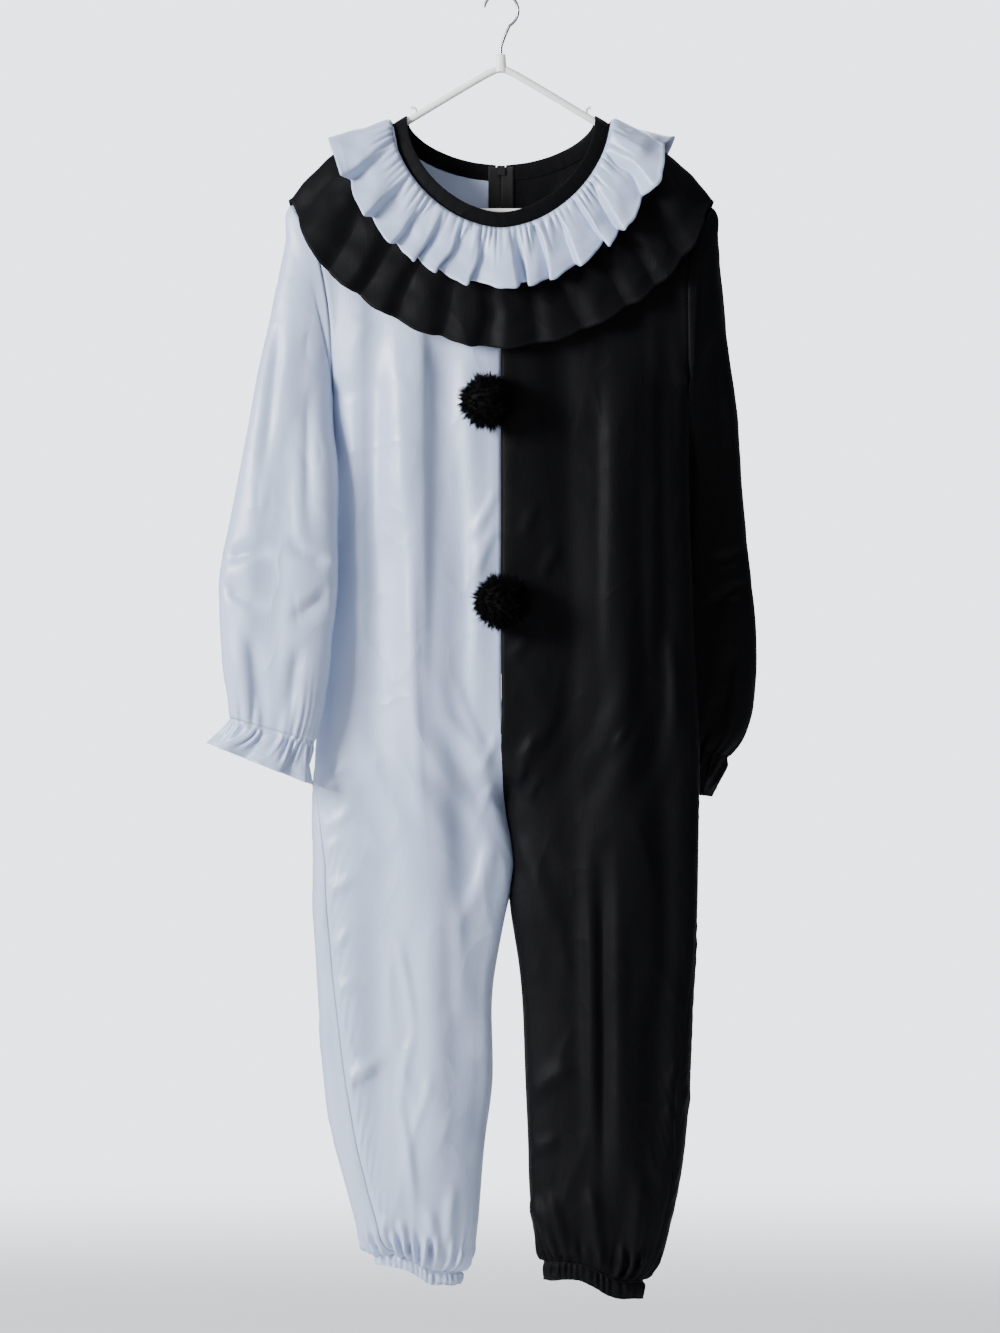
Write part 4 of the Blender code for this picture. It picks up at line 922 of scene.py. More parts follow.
# Creases on the sleeves, in the same columns as the body's
SLEEVE_CREASES = {
    (-1, "front"): (
        (-286, -360, -318, -660, 3, 12, 12, 5),
        (-262, -400, -288, -960, 12, 13, 15, -5.2),
        (-236, -440, -232, -690, 4, 13, 10, 5),
        (-352, -706, -306, -752, 6, 6, 10, 3.4),
        (-350, -724, -306, -806, 6, 8, 10, 3.2),
        (-346, -736, -298, -892, 10, 10, 12, 5),
        (-300, -540, -318, -850, 4, 11, 10, 4.6),
        (-240, -580, -262, -900, -4, 9, 12, 4.6),
        (-232, -790, -258, -930, 5, 9, 11, 4.4),
        (-330, -830, -320, -915, 3, 9, 10, 4),
        (-222, -540, -248, -560, 3, 5, 8, 3),
        (-216, -586, -240, -592, 3, 5, 8, 3),
    ),
    (1, "front"): (
        (274, -380, 292, -690, -3, 10, 12, 4.6),
        (256, -460, 250, -970, -10, 13, 13, -4.8),
        (236, -560, 226, -760, -4, 10, 12, 4.6),
        (300, -600, 288, -900, -4, 10, 10, 4.4),
        (322, -752, 266, -820, -6, 8, 10, 5),
        (206, -708, 236, -750, 4, 6, 10, 2.6),
        (226, -640, 232, -880, 4, 8, 10, 4.4),
        (300, -840, 268, -940, -4, 9, 11, 4.4),
        (312, -879, 304, -940, 3, 6, 8, 4.6),
        (222, -830, 232, -940, 4, 9, 10, 4.4),
        (232, -590, 252, -600, 3, 5, 8, 3),
    ),
    (-1, "back"): (
        (-280, -380, -306, -640, 4, 12, 12, 4.4),
        (-240, -480, -238, -700, -4, 10, 12, 4.4),
        (-350, -716, -286, -708, 5, 7, 10, 5),
        (-350, -744, -292, -776, -6, 7, 10, 4.8),
        (-212, -716, -268, -690, 6, 7, 10, 4.4),
        (-214, -750, -268, -790, 4, 7, 11, 4.4),
        (-318, -800, -306, -925, 4, 10, 12, 4.4),
        (-250, -820, -268, -930, -4, 10, 10, 4.4),
    ),
    (1, "back"): (
        (266, -390, 286, -680, 4, 10, 12, 4.4),
        (238, -540, 232, -720, -3, 9, 12, 4.4),
        (314, -700, 262, -716, 6, 7, 10, 4.8),
        (322, -744, 256, -784, -6, 7, 10, 5),
        (204, -724, 254, -750, 4, 7, 10, 4.4),
        (292, -820, 268, -945, 4, 10, 12, 4.4),
        (222, -810, 238, -930, -4, 10, 10, 4.4),
    ),
}


def oval_ring(outer, inner, y_mid, depth, count):
    """A ring of points from its outer end round the front, the inner end and the back."""
    middle = Vector(((outer[0] + inner[0]) / 2, y_mid, (outer[1] + inner[1]) / 2))
    arm = Vector(((outer[0] - inner[0]) / 2, 0.0, (outer[1] - inner[1]) / 2))
    ring = []
    for i in range(count):
        across, out = math.cos(2 * math.pi * i / count), math.sin(2 * math.pi * i / count)
        point = middle + arm * math.copysign(abs(across) ** 0.85, across)
        point.y -= depth * math.copysign(abs(out) ** 0.8, out)
        ring.append(point)
    return ring


def wrist_axis(side):
    """The way up the arm at the wrist elastic."""
    x_out, z_out, x_in, z_in = SLEEVE[side][-1][:4]
    return Vector(((z_in - z_out) * side, 0.0, (x_out - x_in) * side)).normalized()


def sleeve_rings(side):
    """Rings of a sleeve: the armhole first, then ovals down to the wrist elastic."""
    armhole = [armhole_edge(side, share) for share in YOKE_SHARES + YOKE_SHARES[-2:0:-1]]
    for edge, outward in armhole[len(YOKE_SHARES):]:
        edge.y *= -1.0
    count = len(armhole)
    middle = armhole[0][0].lerp(armhole[count // 2][0], 0.5)
    half = (armhole[0][0] - armhole[count // 2][0]).length / 2
    rings = [[edge + outward * reach for edge, outward in armhole]
             for reach in (-SEAM, SEAM + 2 * STRIP)]
    for k, (x_out, z_out, x_in, z_in, y_mid, depth) in enumerate(SLEEVE[side]):
        melt = 0.6 * ARMHOLE_MELT[k] if k < len(ARMHOLE_MELT) else 0.0
        arm = math.hypot(x_out - x_in, z_out - z_in) / 2
        centre = Vector(((x_out + x_in) / 2, y_mid, (z_out + z_in) / 2))
        oval = oval_ring((x_out, z_out), (x_in, z_in), y_mid, depth, count)
        ring = []
        for (edge, outward), point in zip(armhole, oval):
            across = (point - centre).x / max(abs(x_out - x_in) / 2, 0.001) * side
            hollow = 1.0 - SLEEVE_VALLEY * ease(k, 0, 3) * math.exp(-((across - 0.1) / 0.34) ** 2)
            point.y = centre.y + (point.y - centre.y) * hollow
            kept = edge - middle
            ring.append(point.lerp(centre + Vector((kept.x, kept.y, kept.z * arm / half)), melt))
        rings.append(ring)
    return rings


def gathers(around, count, seed):
    """Uneven gathers round a ring, for places round it from 0 to 1."""
    way = 2 * np.pi * around
    drift = 1.3 * np.sin(3.0 * way + seed) + 0.9 * np.sin(7.0 * way + 2.0 * seed)
    size = 0.75 + 0.25 * np.sin(5.0 * way + 1.7 * seed)
    return size * (np.cos(count * way + drift) + 0.4 * np.cos((count + 9) * way + seed))


def make_sleeves():
    grids = {}
    for side, side_name, material, slot in HALVES:
        grid = refine(sleeve_rings(side), SLEEVE_SPACING[0])
        grid = refine_across(grid, SLEEVE_SPACING[1], closed=True)
        flip = side > 0
        normals = outward_normals(grid, flip, closed=True)
        down = lengths(grid)[1]
        around = np.arange(grid.shape[1]) / grid.shape[1]
        to_wrist = down[-1:] - down
        height = np.zeros(down.shape)
        for face, forward in (("front", -1.0), ("back", 1.0)):
            seen = smooth_step(forward * normals[..., 1], -0.15, 0.45)
            height += seen * creased(grid[..., 0], grid[..., 2], SLEEVE_CREASES[side, face])
        height += SLEEVE_SLACK_RISE * ripple(grid, *SLEEVE_SLACK, 11.0 + side)
        height += 0.6 * crumpled(grid, *SLEEVE_CRUMPLES, 15.0 + side)
        height *= smooth_step(down, 0.0, ARMHOLE_CLEAR) * smooth_step(to_wrist, 0.0, WRIST_CLEAR)
        pulled = np.exp(-to_wrist / WRIST_REACH) * (1.0 - 0.6 * np.exp(-to_wrist / WRIST_HELD))
        height += WRIST_RISE * gathers(around, WRIST_GATHERS, side)[None, :] * pulled
        dip, dip_at, dip_spread = ARMHOLE_DIP
        height -= dip * np.exp(-((down - dip_at) / dip_spread) ** 2)
        grid = grid + normals * height[..., None]
        piece = cloth_piece(f"sleeve_{side_name}", grid, material, closed=True, flip=flip)
        grids[side] = grid
    return grids


sleeves = make_sleeves()


# ---- Cuff frills ------------------------------------------------------------
# The sleeve runs on past the wrist as a short frill: narrow elastic is stitched inside along
# one line, which gathers the satin, and the frill's own edge is turned under and stitched.

# x and height of the edge's outer and inner end, distance to the back, half depth
CUFF = {
    -1: dict(outer=(-0.3620, -0.949), inner=(-0.2440, -0.9960), back=-0.055, depth=0.030),
    1: dict(outer=(0.2600, -1.0140), inner=(0.1790, -1.0030), back=0.080, depth=0.028),
}
CUFF_WAVES = 7
CUFF_WAVE = 0.00833        # how far they swing in and out at the edge
CUFF_SPACING = (0.0022, 0.0026)
CUFF_SLACK_RISE, CUFF_SLACK = 0.0012, (0.014, 1.0)
CUFF_HEM = 0.011           # turned under, so two layers thick
HEM_STEP = 0.0005          # how far its edge shows through
HEM_LINE = 0.0014          # half width of the hollow along its stitching


def unit(vectors):
    return vectors / np.linalg.norm(vectors, axis=-1, keepdims=True)


def make_cuffs():
    grids = {}
    for side, side_name, material, slot in HALVES:
        axis = np.array(wrist_axis(side))
        top = sleeves[side][-1] + axis * SEAM
        count = len(top)
        cuff = CUFF[side]
        foot = np.array(oval_ring(cuff["outer"], cuff["inner"], cuff["back"], cuff["depth"], count))
        out = unit(foot - foot.mean(axis=0))
        around = np.arange(count) / count
        waves = np.cos(2 * np.pi * CUFF_WAVES * around + 0.6) \
            + 0.35 * np.cos(2 * np.pi * (CUFF_WAVES + 5) * around + 2.0)
        foot = foot + out * (CUFF_WAVE * waves)[:, None]
        grid = refine([top, top - axis * 2 * STRIP, foot], CUFF_SPACING[0])
        grid = refine_across(grid, CUFF_SPACING[1], closed=True)
        flip = side > 0
        down = lengths(grid)[1]
        around = np.arange(grid.shape[1])[None, :] / grid.shape[1]
        share = down / down[-1:]
        to_hem = down[-1:] - down
        height = WRIST_RISE * gathers(around, WRIST_GATHERS, side) \
            * smooth_step(share, 0.02, 0.20) * (1.0 - smooth_step(share, 0.35, 0.95))
        height += CUFF_SLACK_RISE * ripple(grid, *CUFF_SLACK, 2.0 + side) \
            * smooth_step(share, 0.1, 0.4)
        # the hem's edge turns back on itself, and its stitching draws in
        height += HEM_STEP * smooth_step(CUFF_HEM - to_hem, -0.001, 0.001)
        height -= HEM_STEP * np.exp(-((to_hem - CUFF_HEM) / HEM_LINE) ** 2)
        grid = grid + outward_normals(grid, flip, closed=True) * height[..., None]
        piece = cloth_piece(f"cuff_{side_name}", grid, material, closed=True, flip=flip)
        grids[side] = grid
    return grids


cuffs = make_cuffs()


# ---- Ankle casings ----------------------------------------------------------
# Each leg ends in a narrow casing: the hem is turned up and stitched, and a 12 mm elastic
# inside it gathers the satin. The two rows of stitching show as tight lines of puckers.

ANKLE_GATHERS = 34
ANKLE_SPACING = (0.0013, 0.0021)
ANKLE_RISE = 0.0019
ANKLE_SLACK_RISE, ANKLE_SLACK = 0.0014, (0.009, 1.0)
CASING_ROWS = (0.0, 0.25, 0.5, 0.75, 1.0)
CASING_SWELL = 0.025       # its middle stands out by this share
CASING_TWIST = 0.0034      # how far its edge wanders up and down, over the size below
CASING_TWIST_SIZE = 0.018
CASING_STITCHES = (0.14, 0.88)       # where they run, as shares of the casing's height


def make_ankles():
    grids = {}
    for side, side_name, material, slot in HALVES:
        ring = np.array(panel_hem(side, "front") + panel_hem(side, "back")[-2:0:-1])
        ankle = ANKLE[side]
        centre = np.array(((ankle["outer"] + ankle["inner"]) / 2, 0.0, 0.0))
        # the casing twists a little on its elastic, so its edge isn't straight
        twist = np.array([noise.noise(Vector((*point[:2] / CASING_TWIST_SIZE, 3.0 * side)))
                          for point in ring])
        rows = []
        for share in CASING_ROWS:
            swell = 1.0 + CASING_SWELL * math.sin(share * math.pi)
            row = centre + (ring - centre) * (swell, swell, 1.0)
            row[:, 2] -= ankle["tall"] * share + CASING_TWIST * share * twist - SEAM
            rows.append(row)
        grid = refine_across(refine(rows, ANKLE_SPACING[0]), ANKLE_SPACING[1], closed=True)
        flip = side > 0
        share = (np.arange(len(grid)) / (len(grid) - 1))[:, None]
        around = np.arange(grid.shape[1])[None, :] / grid.shape[1]
        height = ANKLE_RISE * gathers(around, ANKLE_GATHERS, 2.0 + side) \
            * (0.55 + 0.45 * np.sin(share * math.pi)) * smooth_step(share, 0.0, 0.2) \
            * (0.5 + 1.3 * np.abs(ripple(grid, 0.018, 1.0, 17.0)))
        height += ANKLE_SLACK_RISE * ripple(grid, *ANKLE_SLACK, 9.0 + side) \
            * smooth_step(share, 0.0, 0.3)
        for line in CASING_STITCHES:
            height -= SEAM_DIP * np.exp(-((share - line) / 0.05) ** 2)
        grid = grid + outward_normals(grid, flip, closed=True) * height[..., None]
        piece = cloth_piece(f"ankle_{side_name}", grid, material, closed=True, flip=flip)
        grids[side] = grid
    return grids


ankles = make_ankles()


# ---- Neck binding -----------------------------------------------------------
# A strip of black satin folded over the neck edge, with both ruffles caught in its seam. It
# stops on either side of the zip.

BINDING_LAP = 0.0020       # how far the strip reaches down over the seam
BINDING_WIDTH = 0.0212
BINDING_THICK = 0.0013     # half the thickness of the folded strip
BINDING_SIDES = 18         # points round its section
BINDING_SPACING = 0.0026
BINDING_STITCHES = 0.12    # where they run, as a share of its width
BINDING_PUCKER = 0.00012
BACK_SLIT = 0.0075         # from the centre to the binding's end


def neck_stations():
    """Places on the neck seam from the back slit round the front to the slit again: the way
    round in degrees from the front's middle, the point, and the way out from the neck."""
    slit = math.degrees(math.asin((BACK_SLIT / NECK_HALF) ** (NECK_CURVE / 2.0)))
    turns = [angle - 180.0 for angle in (slit,) + NECK_ANGLES[1:]]
    turns += [-angle for angle in NECK_ANGLES[-2::-1]]
    turns += [-turn for turn in turns[-2::-1]]
    stations = []
    for turn in turns:
        side = -1 if turn < 0 else 1
        face = "front" if abs(turn) <= 90.0 else "back"
        angle = math.radians(min(abs(turn), 180.0 - abs(turn)))
        point = neck_point(angle, face)
        point.x *= side
        stations.append((turn, point, from_neck(side, angle)))
    return stations


def stand_offs(stations):
    """The way straight off the cloth at each place on the neck seam, evened out."""
    normals = []
    for i, (turn, point, outward) in enumerate(stations):
        tangent = stations[min(i + 1, len(stations) - 1)][1] - stations[max(i - 1, 0)][1]
        normal = tangent.cross(outward).normalized()
        forward = -1.0 if abs(turn) <= 90.0 else 1.0
        normals.append(-normal if normal.dot(Vector((0.0, forward, 0.6))) < 0 else normal)
    return [(sum(normals[max(i - 1, 0):i + 2], Vector())).normalized() for i in range(len(normals))]


def neck_frame(spacing):
    """The stations close together: turns, points, ways out and ways off, as arrays."""
    stations = neck_stations()
    table = np.array([(turn, *point, *outward, *off)
                      for (turn, point, outward), off in zip(stations, stand_offs(stations))])
    arc = distances(table[:, 1:4])
    fine_arc = np.linspace(0.0, arc[-1], math.ceil(arc[-1] / spacing) + 1)
    values = smooth_along(table, arc, fine_arc)
    return values[:, 0], values[:, 1:4], unit(values[:, 4:7]), unit(values[:, 7:10])


def smooth_along(values, places, fine):
    """Columns of values read on a smooth curve at finer places."""
    slopes = np.gradient(values, places, axis=0)
    index = np.clip(np.searchsorted(places, fine, side="right") - 1, 0, len(places) - 2)
    gap = (places[index + 1] - places[index])[:, None]
    return curve_between(values[index], values[index + 1], gap * slopes[index],
                         gap * slopes[index + 1], (fine - places[index])[:, None] / gap)


def make_binding():
    turns, points, outward, off = neck_frame(BINDING_SPACING)
    count = len(points)
    along = np.linspace(0.0, 1.0, count)
    # the folded strip's section from its lower edge: up outside, over the fold, down inside
    section = []
    for i in range(BINDING_SIDES):
        angle = 2 * math.pi * i / BINDING_SIDES
        up = 0.5 - 0.5 * math.copysign(abs(math.cos(angle)) ** 0.45, math.cos(angle))
        section.append((up, math.copysign(abs(math.sin(angle)) ** 0.5, math.sin(angle))))
    rng = random.Random(4)
    waves = np.cos(2 * np.pi * 52 * along + 3.0 * np.sin(9.0 * along))
    puckers = [BINDING_PUCKER * (rng.uniform(-1.0, 1.0) + wave) for wave in waves]
    rows = []
    for k in range(count):
        thick = BINDING_THICK * (0.35 if k in (0, count - 1) else 1.0)
        row = []
        for up, out in section:
            # the stitching near the lower edge holds the strip flatter than its fold
            held = 1.0 - 0.22 * math.exp(-((up - BINDING_STITCHES) / 0.08) ** 2)
            place = points[k] - outward[k] * (BINDING_WIDTH * up - BINDING_LAP)
            row.append(place + off[k] * (out * thick * held + puckers[k] * (1.0 - up)))
        rows.append(row)
    piece = cloth_piece("neck_binding", np.array(rows), black_satin, closed=True,
                        wall=None)
    cap_ends(piece, len(section))


def cap_ends(piece, width):
    """Closes the two ends of a tube of cloth."""
    shape = bmesh.new()
    shape.from_mesh(piece.data)
    shape.verts.ensure_lookup_table()
    last = len(shape.verts) - width
    shape.faces.new([shape.verts[i] for i in range(width)])
    shape.faces.new([shape.verts[last + i] for i in reversed(range(width))])
    bmesh.ops.recalc_face_normals(shape, faces=shape.faces)
    shape.to_mesh(piece.data)
    shape.free()


make_binding()


# ---- Ruffles ----------------------------------------------------------------
# Two collar ruffles, black under white, each a long straight strip of satin gathered along
# one edge into the neck seam, with a narrow rolled hem. The fullness stands up in flutes
# that lap a little, and fine gathers run down from the seam.

# Width of each ruffle and the length that it was gathered from; how far its seam stands off
# and its edge leans out; how far its flutes wave out, the share of a flute's width over which
# it falls back, how far it laps aside and its forward side steps down; number, height and
# reach of its gathers; degrees that its valleys sway; height of its creases; how far it droops
# over the sleeve; and the notches between its flutes, in degrees from the front's middle
RUFFLES = {
    "ruffle_lower": dict(
        width=0.152, cut=1.50, root=0.0021, lean=0.010, wave=0.0075, drop=0.48, lap=0.003,
        step=0.0040, gathers=66, gather=0.0016, reach=0.60, sway=4.0, crease=0.0018,
        droop=0.040, seed=3.0,
        notches=(-168, -150, -134, -118, -101, -84, -64, -47, -33, -19, -5,
                 11, 24, 41, 55, 69, 85, 103, 119, 136, 153, 168)),
    "ruffle_upper": dict(
        width=0.0755, cut=1.46, root=0.0042, lean=0.014, wave=0.0205, drop=0.24, lap=0.007,
        step=0.0080, gathers=92, gather=0.0050, reach=0.85, sway=6.0, crease=0.0036,
        droop=0.006, seed=8.0,
        notches=(-168, -152, -138, -124, -109, -92, -74, -56, -43, -33, -22,
                 -9, 8, 19, 31, 43, 53, 70, 89, 107, 121, 135, 150, 164)),
}
RUFFLE_SPACING = (0.0038, 0.0013)
RUFFLE_START = 0.0008      # from the neck seam to its first row
RUFFLE_CLEAR = 0.0016
RUFFLE_FEEL = 0.045        # cloth further off than this isn't lain upon
FEEL_FROM = 0.15           # how far off the body the search for it starts
RUFFLE_DROOP = (0.36, 1.08)      # shares of the width between which it droops
RUFFLE_STAGGER = 0.0040    # how unevenly the hem hangs
RUFFLE_CREASE_SIZE = 0.024
FLUTE = 17                 # degrees across a flute of the usual height
FLUTE_RISE = 0.72          # how soon a flute's broad side comes forward
SHOULDER_LIFT = 0.0042
ROLLED_HEM = 0.0028
HEM_ROLL = 0.0006


def flutes(notches, turns, drop):
    """How far out the cloth stands in its flute, and the place across it from -0.5 to 0.5. The
    broad side comes forward slowly and falls back over the drop, a share of the flute's width;
    the steep side is the one nearer the front's middle."""
    ends = np.array((notches[-1] - 360.0,) + notches + (notches[0] + 360.0,))
    index = np.clip(np.searchsorted(ends, turns, side="right") - 1, 0, len(ends) - 2)
    span = ends[index + 1] - ends[index]
    phase = np.clip((turns - ends[index]) / span, 0.0, 1.0)
    middle = (ends[index] + ends[index + 1]) / 2
    phase = np.where(middle < 0.0, phase, 1.0 - phase)
    rise = np.clip(phase / (1.0 - drop), 0.0, 1.0) ** FLUTE_RISE
    rise = 0.4 * np.sin(0.5 * np.pi * rise) + 0.6 * rise * rise * (3.0 - 2.0 * rise)
    fall = 1.0 - smooth_step(phase, 1.0 - drop, 1.0)
    swell = np.where(phase < 1.0 - drop, rise, fall)
    across = swell - 0.5
    return swell * np.clip(span / FLUTE, 0.75, 1.3), across, np.where(middle < 0.0, 1.0, -1.0)


def cloth_tree(grids):
    """Cloth that has been made so far, for more to be laid upon."""
    vertices, faces = [], []
    for grid, closed in grids:
        rows, width = grid.shape[:2]
        faces += (corner_faces(grid_corners(rows, width, closed), width) + len(vertices)).tolist()
        vertices += grid.reshape(-1, 3).tolist()
    return BVHTree.FromPolygons(vertices, faces)


def rise_to_clear(tree, points, off, clear):
    """How far each point must come off the body to clear what lies there."""
    raised = np.zeros(len(points))
    for i, (point, way) in enumerate(zip(points, off)):
        here, away = Vector(point), Vector(way)
        hit = tree.ray_cast(here + away * FEEL_FROM, -away, 2 * FEEL_FROM)[0]
        if hit is not None and abs((hit - here).dot(away)) < RUFFLE_FEEL:
            raised[i] = max((hit - here).dot(away) + clear, 0.0)
    return raised


def wander(turns, pitch, line, layer=0.0):
    """Soft unevenness along the neck seam."""
    return np.array([noise.noise(Vector((turn * pitch, line, layer))) for turn in turns])


def seam_gathers(around, count, seed):
    """Gathers pulled up on a thread: broad ridges between sharp valleys, unevenly spaced."""
    way = np.pi * around
    drift = 1.9 * np.sin(6.0 * way + seed) + 1.2 * np.sin(14.0 * way + 2.0 * seed) \
        + 0.8 * np.sin(38.0 * way + 3.0 * seed)
    size = 0.8 + 0.3 * np.sin(22.0 * way + 1.7 * seed) + 0.2 * np.sin(58.0 * way + seed)
    return size * np.abs(np.sin(count * way + drift)) ** 0.8


def soften(heights):
    """Clearances spread to their neighbours, so that the cloth lies in easy curves."""
    for i in range(4):
        padded = np.pad(heights, 1, mode="edge")
        around = np.maximum(padded[1:-1, :-2], padded[1:-1, 2:])
        beside = 0.25 * (padded[:-2, 1:-1] + padded[2:, 1:-1]) + 0.5 * around
        heights = np.maximum(heights, beside - 0.0002)
    return heights


def make_ruffles():
    under = [(grid, False) for grid in panels.values()]
    under += [(grid, True) for grid in sleeves.values()]
    grids = {}
    for name, material, slot in (("ruffle_lower", black_satin, "black_satin"),
                                 ("ruffle_upper", white_satin, "white_satin")):
        sizes = RUFFLES[name]
        seed = sizes["seed"]
        turns, seam, outward, off = neck_frame(RUFFLE_SPACING[1])
        sine = np.sin(np.radians(np.minimum(np.abs(turns), 180.0 - np.abs(turns))))
        angle = np.arcsin(np.clip(sine, 0.0, 1.0))
        lift = SHOULDER_LIFT * sine ** 6 * smooth_step(-angle, -(math.pi / 2 + 0.06), -1.45)
        tree = cloth_tree(under)
        steps = np.arange(0.0, 1.0001, 1.0 / round(sizes["width"] / RUFFLE_SPACING[0]))
        rows, clears = [], []
        for run in steps:
            distance = sizes["width"] * run
            points = seam + outward * (RUFFLE_START + distance)
            points = points + off * (sizes["lean"] * run ** 1.2 + sizes["root"] + lift)[:, None]
            # past the shoulder the ruffle hangs down over the top of the sleeve
            droop = sizes["droop"] * ease(run, *RUFFLE_DROOP) * sine ** 5
            points[:, 0] -= 0.25 * droop * np.sign(points[:, 0])
            points[:, 2] -= droop
            rows.append(points)
            clear = RUFFLE_CLEAR * ease(distance, 0.0, 0.03) + SEAM + WALL / 2
            clears.append(rise_to_clear(tree, points, off, clear))
        grid = np.array(rows)
        run = steps[:, None]
        # no flute runs straight down: its valleys sway a few degrees on their way to the hem
        sways = np.array([wander(turns, 0.045, share * 1.6, seed) for share in steps])
        swayed = turns[None, :] + sizes["sway"] * run * sways
        swell, across, leaning = flutes(sizes["notches"], swayed, sizes["drop"])
        height = soften(np.array(clears)) + sizes["wave"] * swell * run ** 0.8
        # each gather runs its own way down from the seam before it opens out
        uneven = wander(turns, 0.19, seed)
        reach = sizes["reach"] * (0.62 + 0.75 * uneven)[None, :]
        fade = smooth_step(run, 0.0, 0.035) \
            * (1.0 - smooth_step(run / np.maximum(reach, 0.12), 0.15, 1.0))
        fine = seam_gathers((turns + 180.0) / 360.0, sizes["gathers"], seed)
        height += sizes["gather"] * fine[None, :] * fade
        height += sizes["crease"] * (0.5 + ripple(grid, RUFFLE_CREASE_SIZE, 1.0, 4.0 + seed)) \
            * smooth_step(run, 0.15, 0.6)
        # each flute laps over the next, and its forward side hangs lower
        slide = sizes["lap"] * leaning * across * run ** 1.3
        stagger = RUFFLE_STAGGER * wander(turns, 0.085, 7.0 + seed)[None, :]
        lower = (sizes["step"] * across * (0.8 + 0.9 * uneven)[None, :] + stagger) * run ** 2
        along = unit(np.gradient(seam, axis=0))
        grid = grid + off * height[..., None] + along * slide[..., None] \
            + outward * lower[..., None]
        # the rolled hem stands a little thicker
        down = lengths(grid)[1]
        rolled = HEM_ROLL * np.exp(-((down[-1:] - down) / ROLLED_HEM) ** 2)
        grid = grid + off * rolled[..., None]
        piece = cloth_piece(name, grid, material, flip=True)
        grids[name] = grid
        under.append((grid, False))
    return grids


ruffles = make_ruffles()


# ---- Pompoms ----------------------------------------------------------------
# Two balls of black acrylic fur about 78 mm across, trimmed round, which clumps in small
# tufts. Each is flat behind, where it is sewn through the centre seam.

POMPOMS = {"pompom_upper": (-0.0170, -0.516), "pompom_lower": (0.0008, -0.768)}
POM_SKIN = 0.0290          # radius of the ball that the fur stands on
POM_REACH = 0.0430         # radius to the tips
POM_BACK = 0.0212          # from its middle to its flat back
POM_GAP = 0.0002           # between it and the cloth
POM_FEEL = (-0.020, 0.0, 0.020)      # places across and down where the cloth is felt for
TUFTS = 500
TUFT_STRANDS = 18
TUFT_SPREAD = 0.05         # how far a tuft stands from its even place, and a strand from it
TUFT_SWAY = 0.07
TUFT_LENGTHS, STRAND_LENGTHS = (0.78, 1.02), (0.84, 1.0)
TUFT_DROOP = 0.03
STRAND_GATHER, STRAND_SWAY = (0.35, 0.90), (0.6, 1.2)      # how far it follows its tuft
STRAND_ROOT = 0.002        # inside the ball
STRAND_BOW = 0.0012
# a fibre is 0.05 mm thick; it is drawn at 0.5 mm so that 9000 strands cover the ball
STRAND_THICK = 0.00025


def acrylic_fur():
    """Dull black acrylic fibre: almost no light comes back but a faint lengthwise glint."""
    material, tree, shader = new_material("black_acrylic_fur", Roughness=0.70,
                                          Specular_IOR_Level=0.06)
    place = add_node(tree, "ShaderNodeTexCoord")
    # tufts differ a little in tone, about 8 mm apart
    clumps = add_node(tree, "ShaderNodeTexNoise", {"Scale": 120.0, "Detail": 2.0},
                      {"Vector": place.outputs["Object"]})
    tone = add_node(tree, "ShaderNodeMapRange", {"From Min": 0.3, "From Max": 0.7},
                    {"Value": clumps.outputs["Fac"]})
    colour = add_node(tree, "ShaderNodeMix", {"A": linear("#030304"), "B": linear("#09090B")},
                      {"Factor": tone.outputs["Result"]}, data_type="RGBA")
    tree.links.new(colour.outputs["Result"], shader.inputs["Base Color"])
    return material


def fur_strands(rng):
    """Tapering three-sided strands from the skin outwards, drawn together in tufts."""
    golden = math.pi * (3.0 - math.sqrt(5.0))
    vertices, faces = [], []
    for tuft in range(TUFTS):
        level = 1.0 - 2.0 * (tuft + 0.5) / TUFTS
        ring = math.sqrt(1.0 - level * level)
        lead = Vector((ring * math.cos(golden * tuft), ring * math.sin(golden * tuft), level))
        lead = (lead + Vector([rng.gauss(0.0, TUFT_SPREAD) for i in range(3)])).normalized()
        if lead.y * POM_SKIN > POM_BACK * 0.96:
            continue
        reach = POM_REACH * rng.uniform(*TUFT_LENGTHS)
        sway = Vector([rng.gauss(middle, TUFT_SWAY) for middle in (0.0, 0.0, -TUFT_DROOP)])
        for strand in range(TUFT_STRANDS):
            root = (lead + Vector([rng.gauss(0.0, TUFT_SPREAD) for i in range(3)])).normalized()
            tip = root.lerp(lead, rng.uniform(*STRAND_GATHER))
            tip = (tip + sway * rng.uniform(*STRAND_SWAY)).normalized() \
                * reach * rng.uniform(*STRAND_LENGTHS)
            foot = root * (POM_SKIN - STRAND_ROOT)
            knee = foot.lerp(tip, 0.5) + root * STRAND_BOW
            along = (tip - foot).normalized()
            aside = along.orthogonal().normalized()
            across = along.cross(aside)
            first = len(vertices)
            for centre, radius in ((foot, STRAND_THICK), (knee, STRAND_THICK * 0.8)):
                for k in range(3):
                    turn = 2 * math.pi * k / 3
                    out = aside * math.cos(turn) + across * math.sin(turn)
                    vertices.append(centre + out * radius)
            vertices.append(tip)
            for k in range(3):
                n = (k + 1) % 3
                faces.append((first + k, first + n, first + 3 + n, first + 3 + k))
                faces.append((first + 3 + k, first + 3 + n, first + 6))
    return vertices, faces


def fur_ball(rng):
    """A ball with strands all round it but behind, where it is flat."""
    shape = bmesh.new()
    bmesh.ops.create_icosphere(shape, subdivisions=3, radius=POM_SKIN)
    shape.verts.index_update()
    skin = [vertex.co.copy() for vertex in shape.verts]
    polygons = [[vertex.index for vertex in face.verts] for face in shape.faces]
    shape.free()
    strands, faces = fur_strands(rng)
    polygons += [[len(skin) + i for i in face] for face in faces]
    return [(x, min(y, POM_BACK), z) for x, y, z in skin + strands], polygons


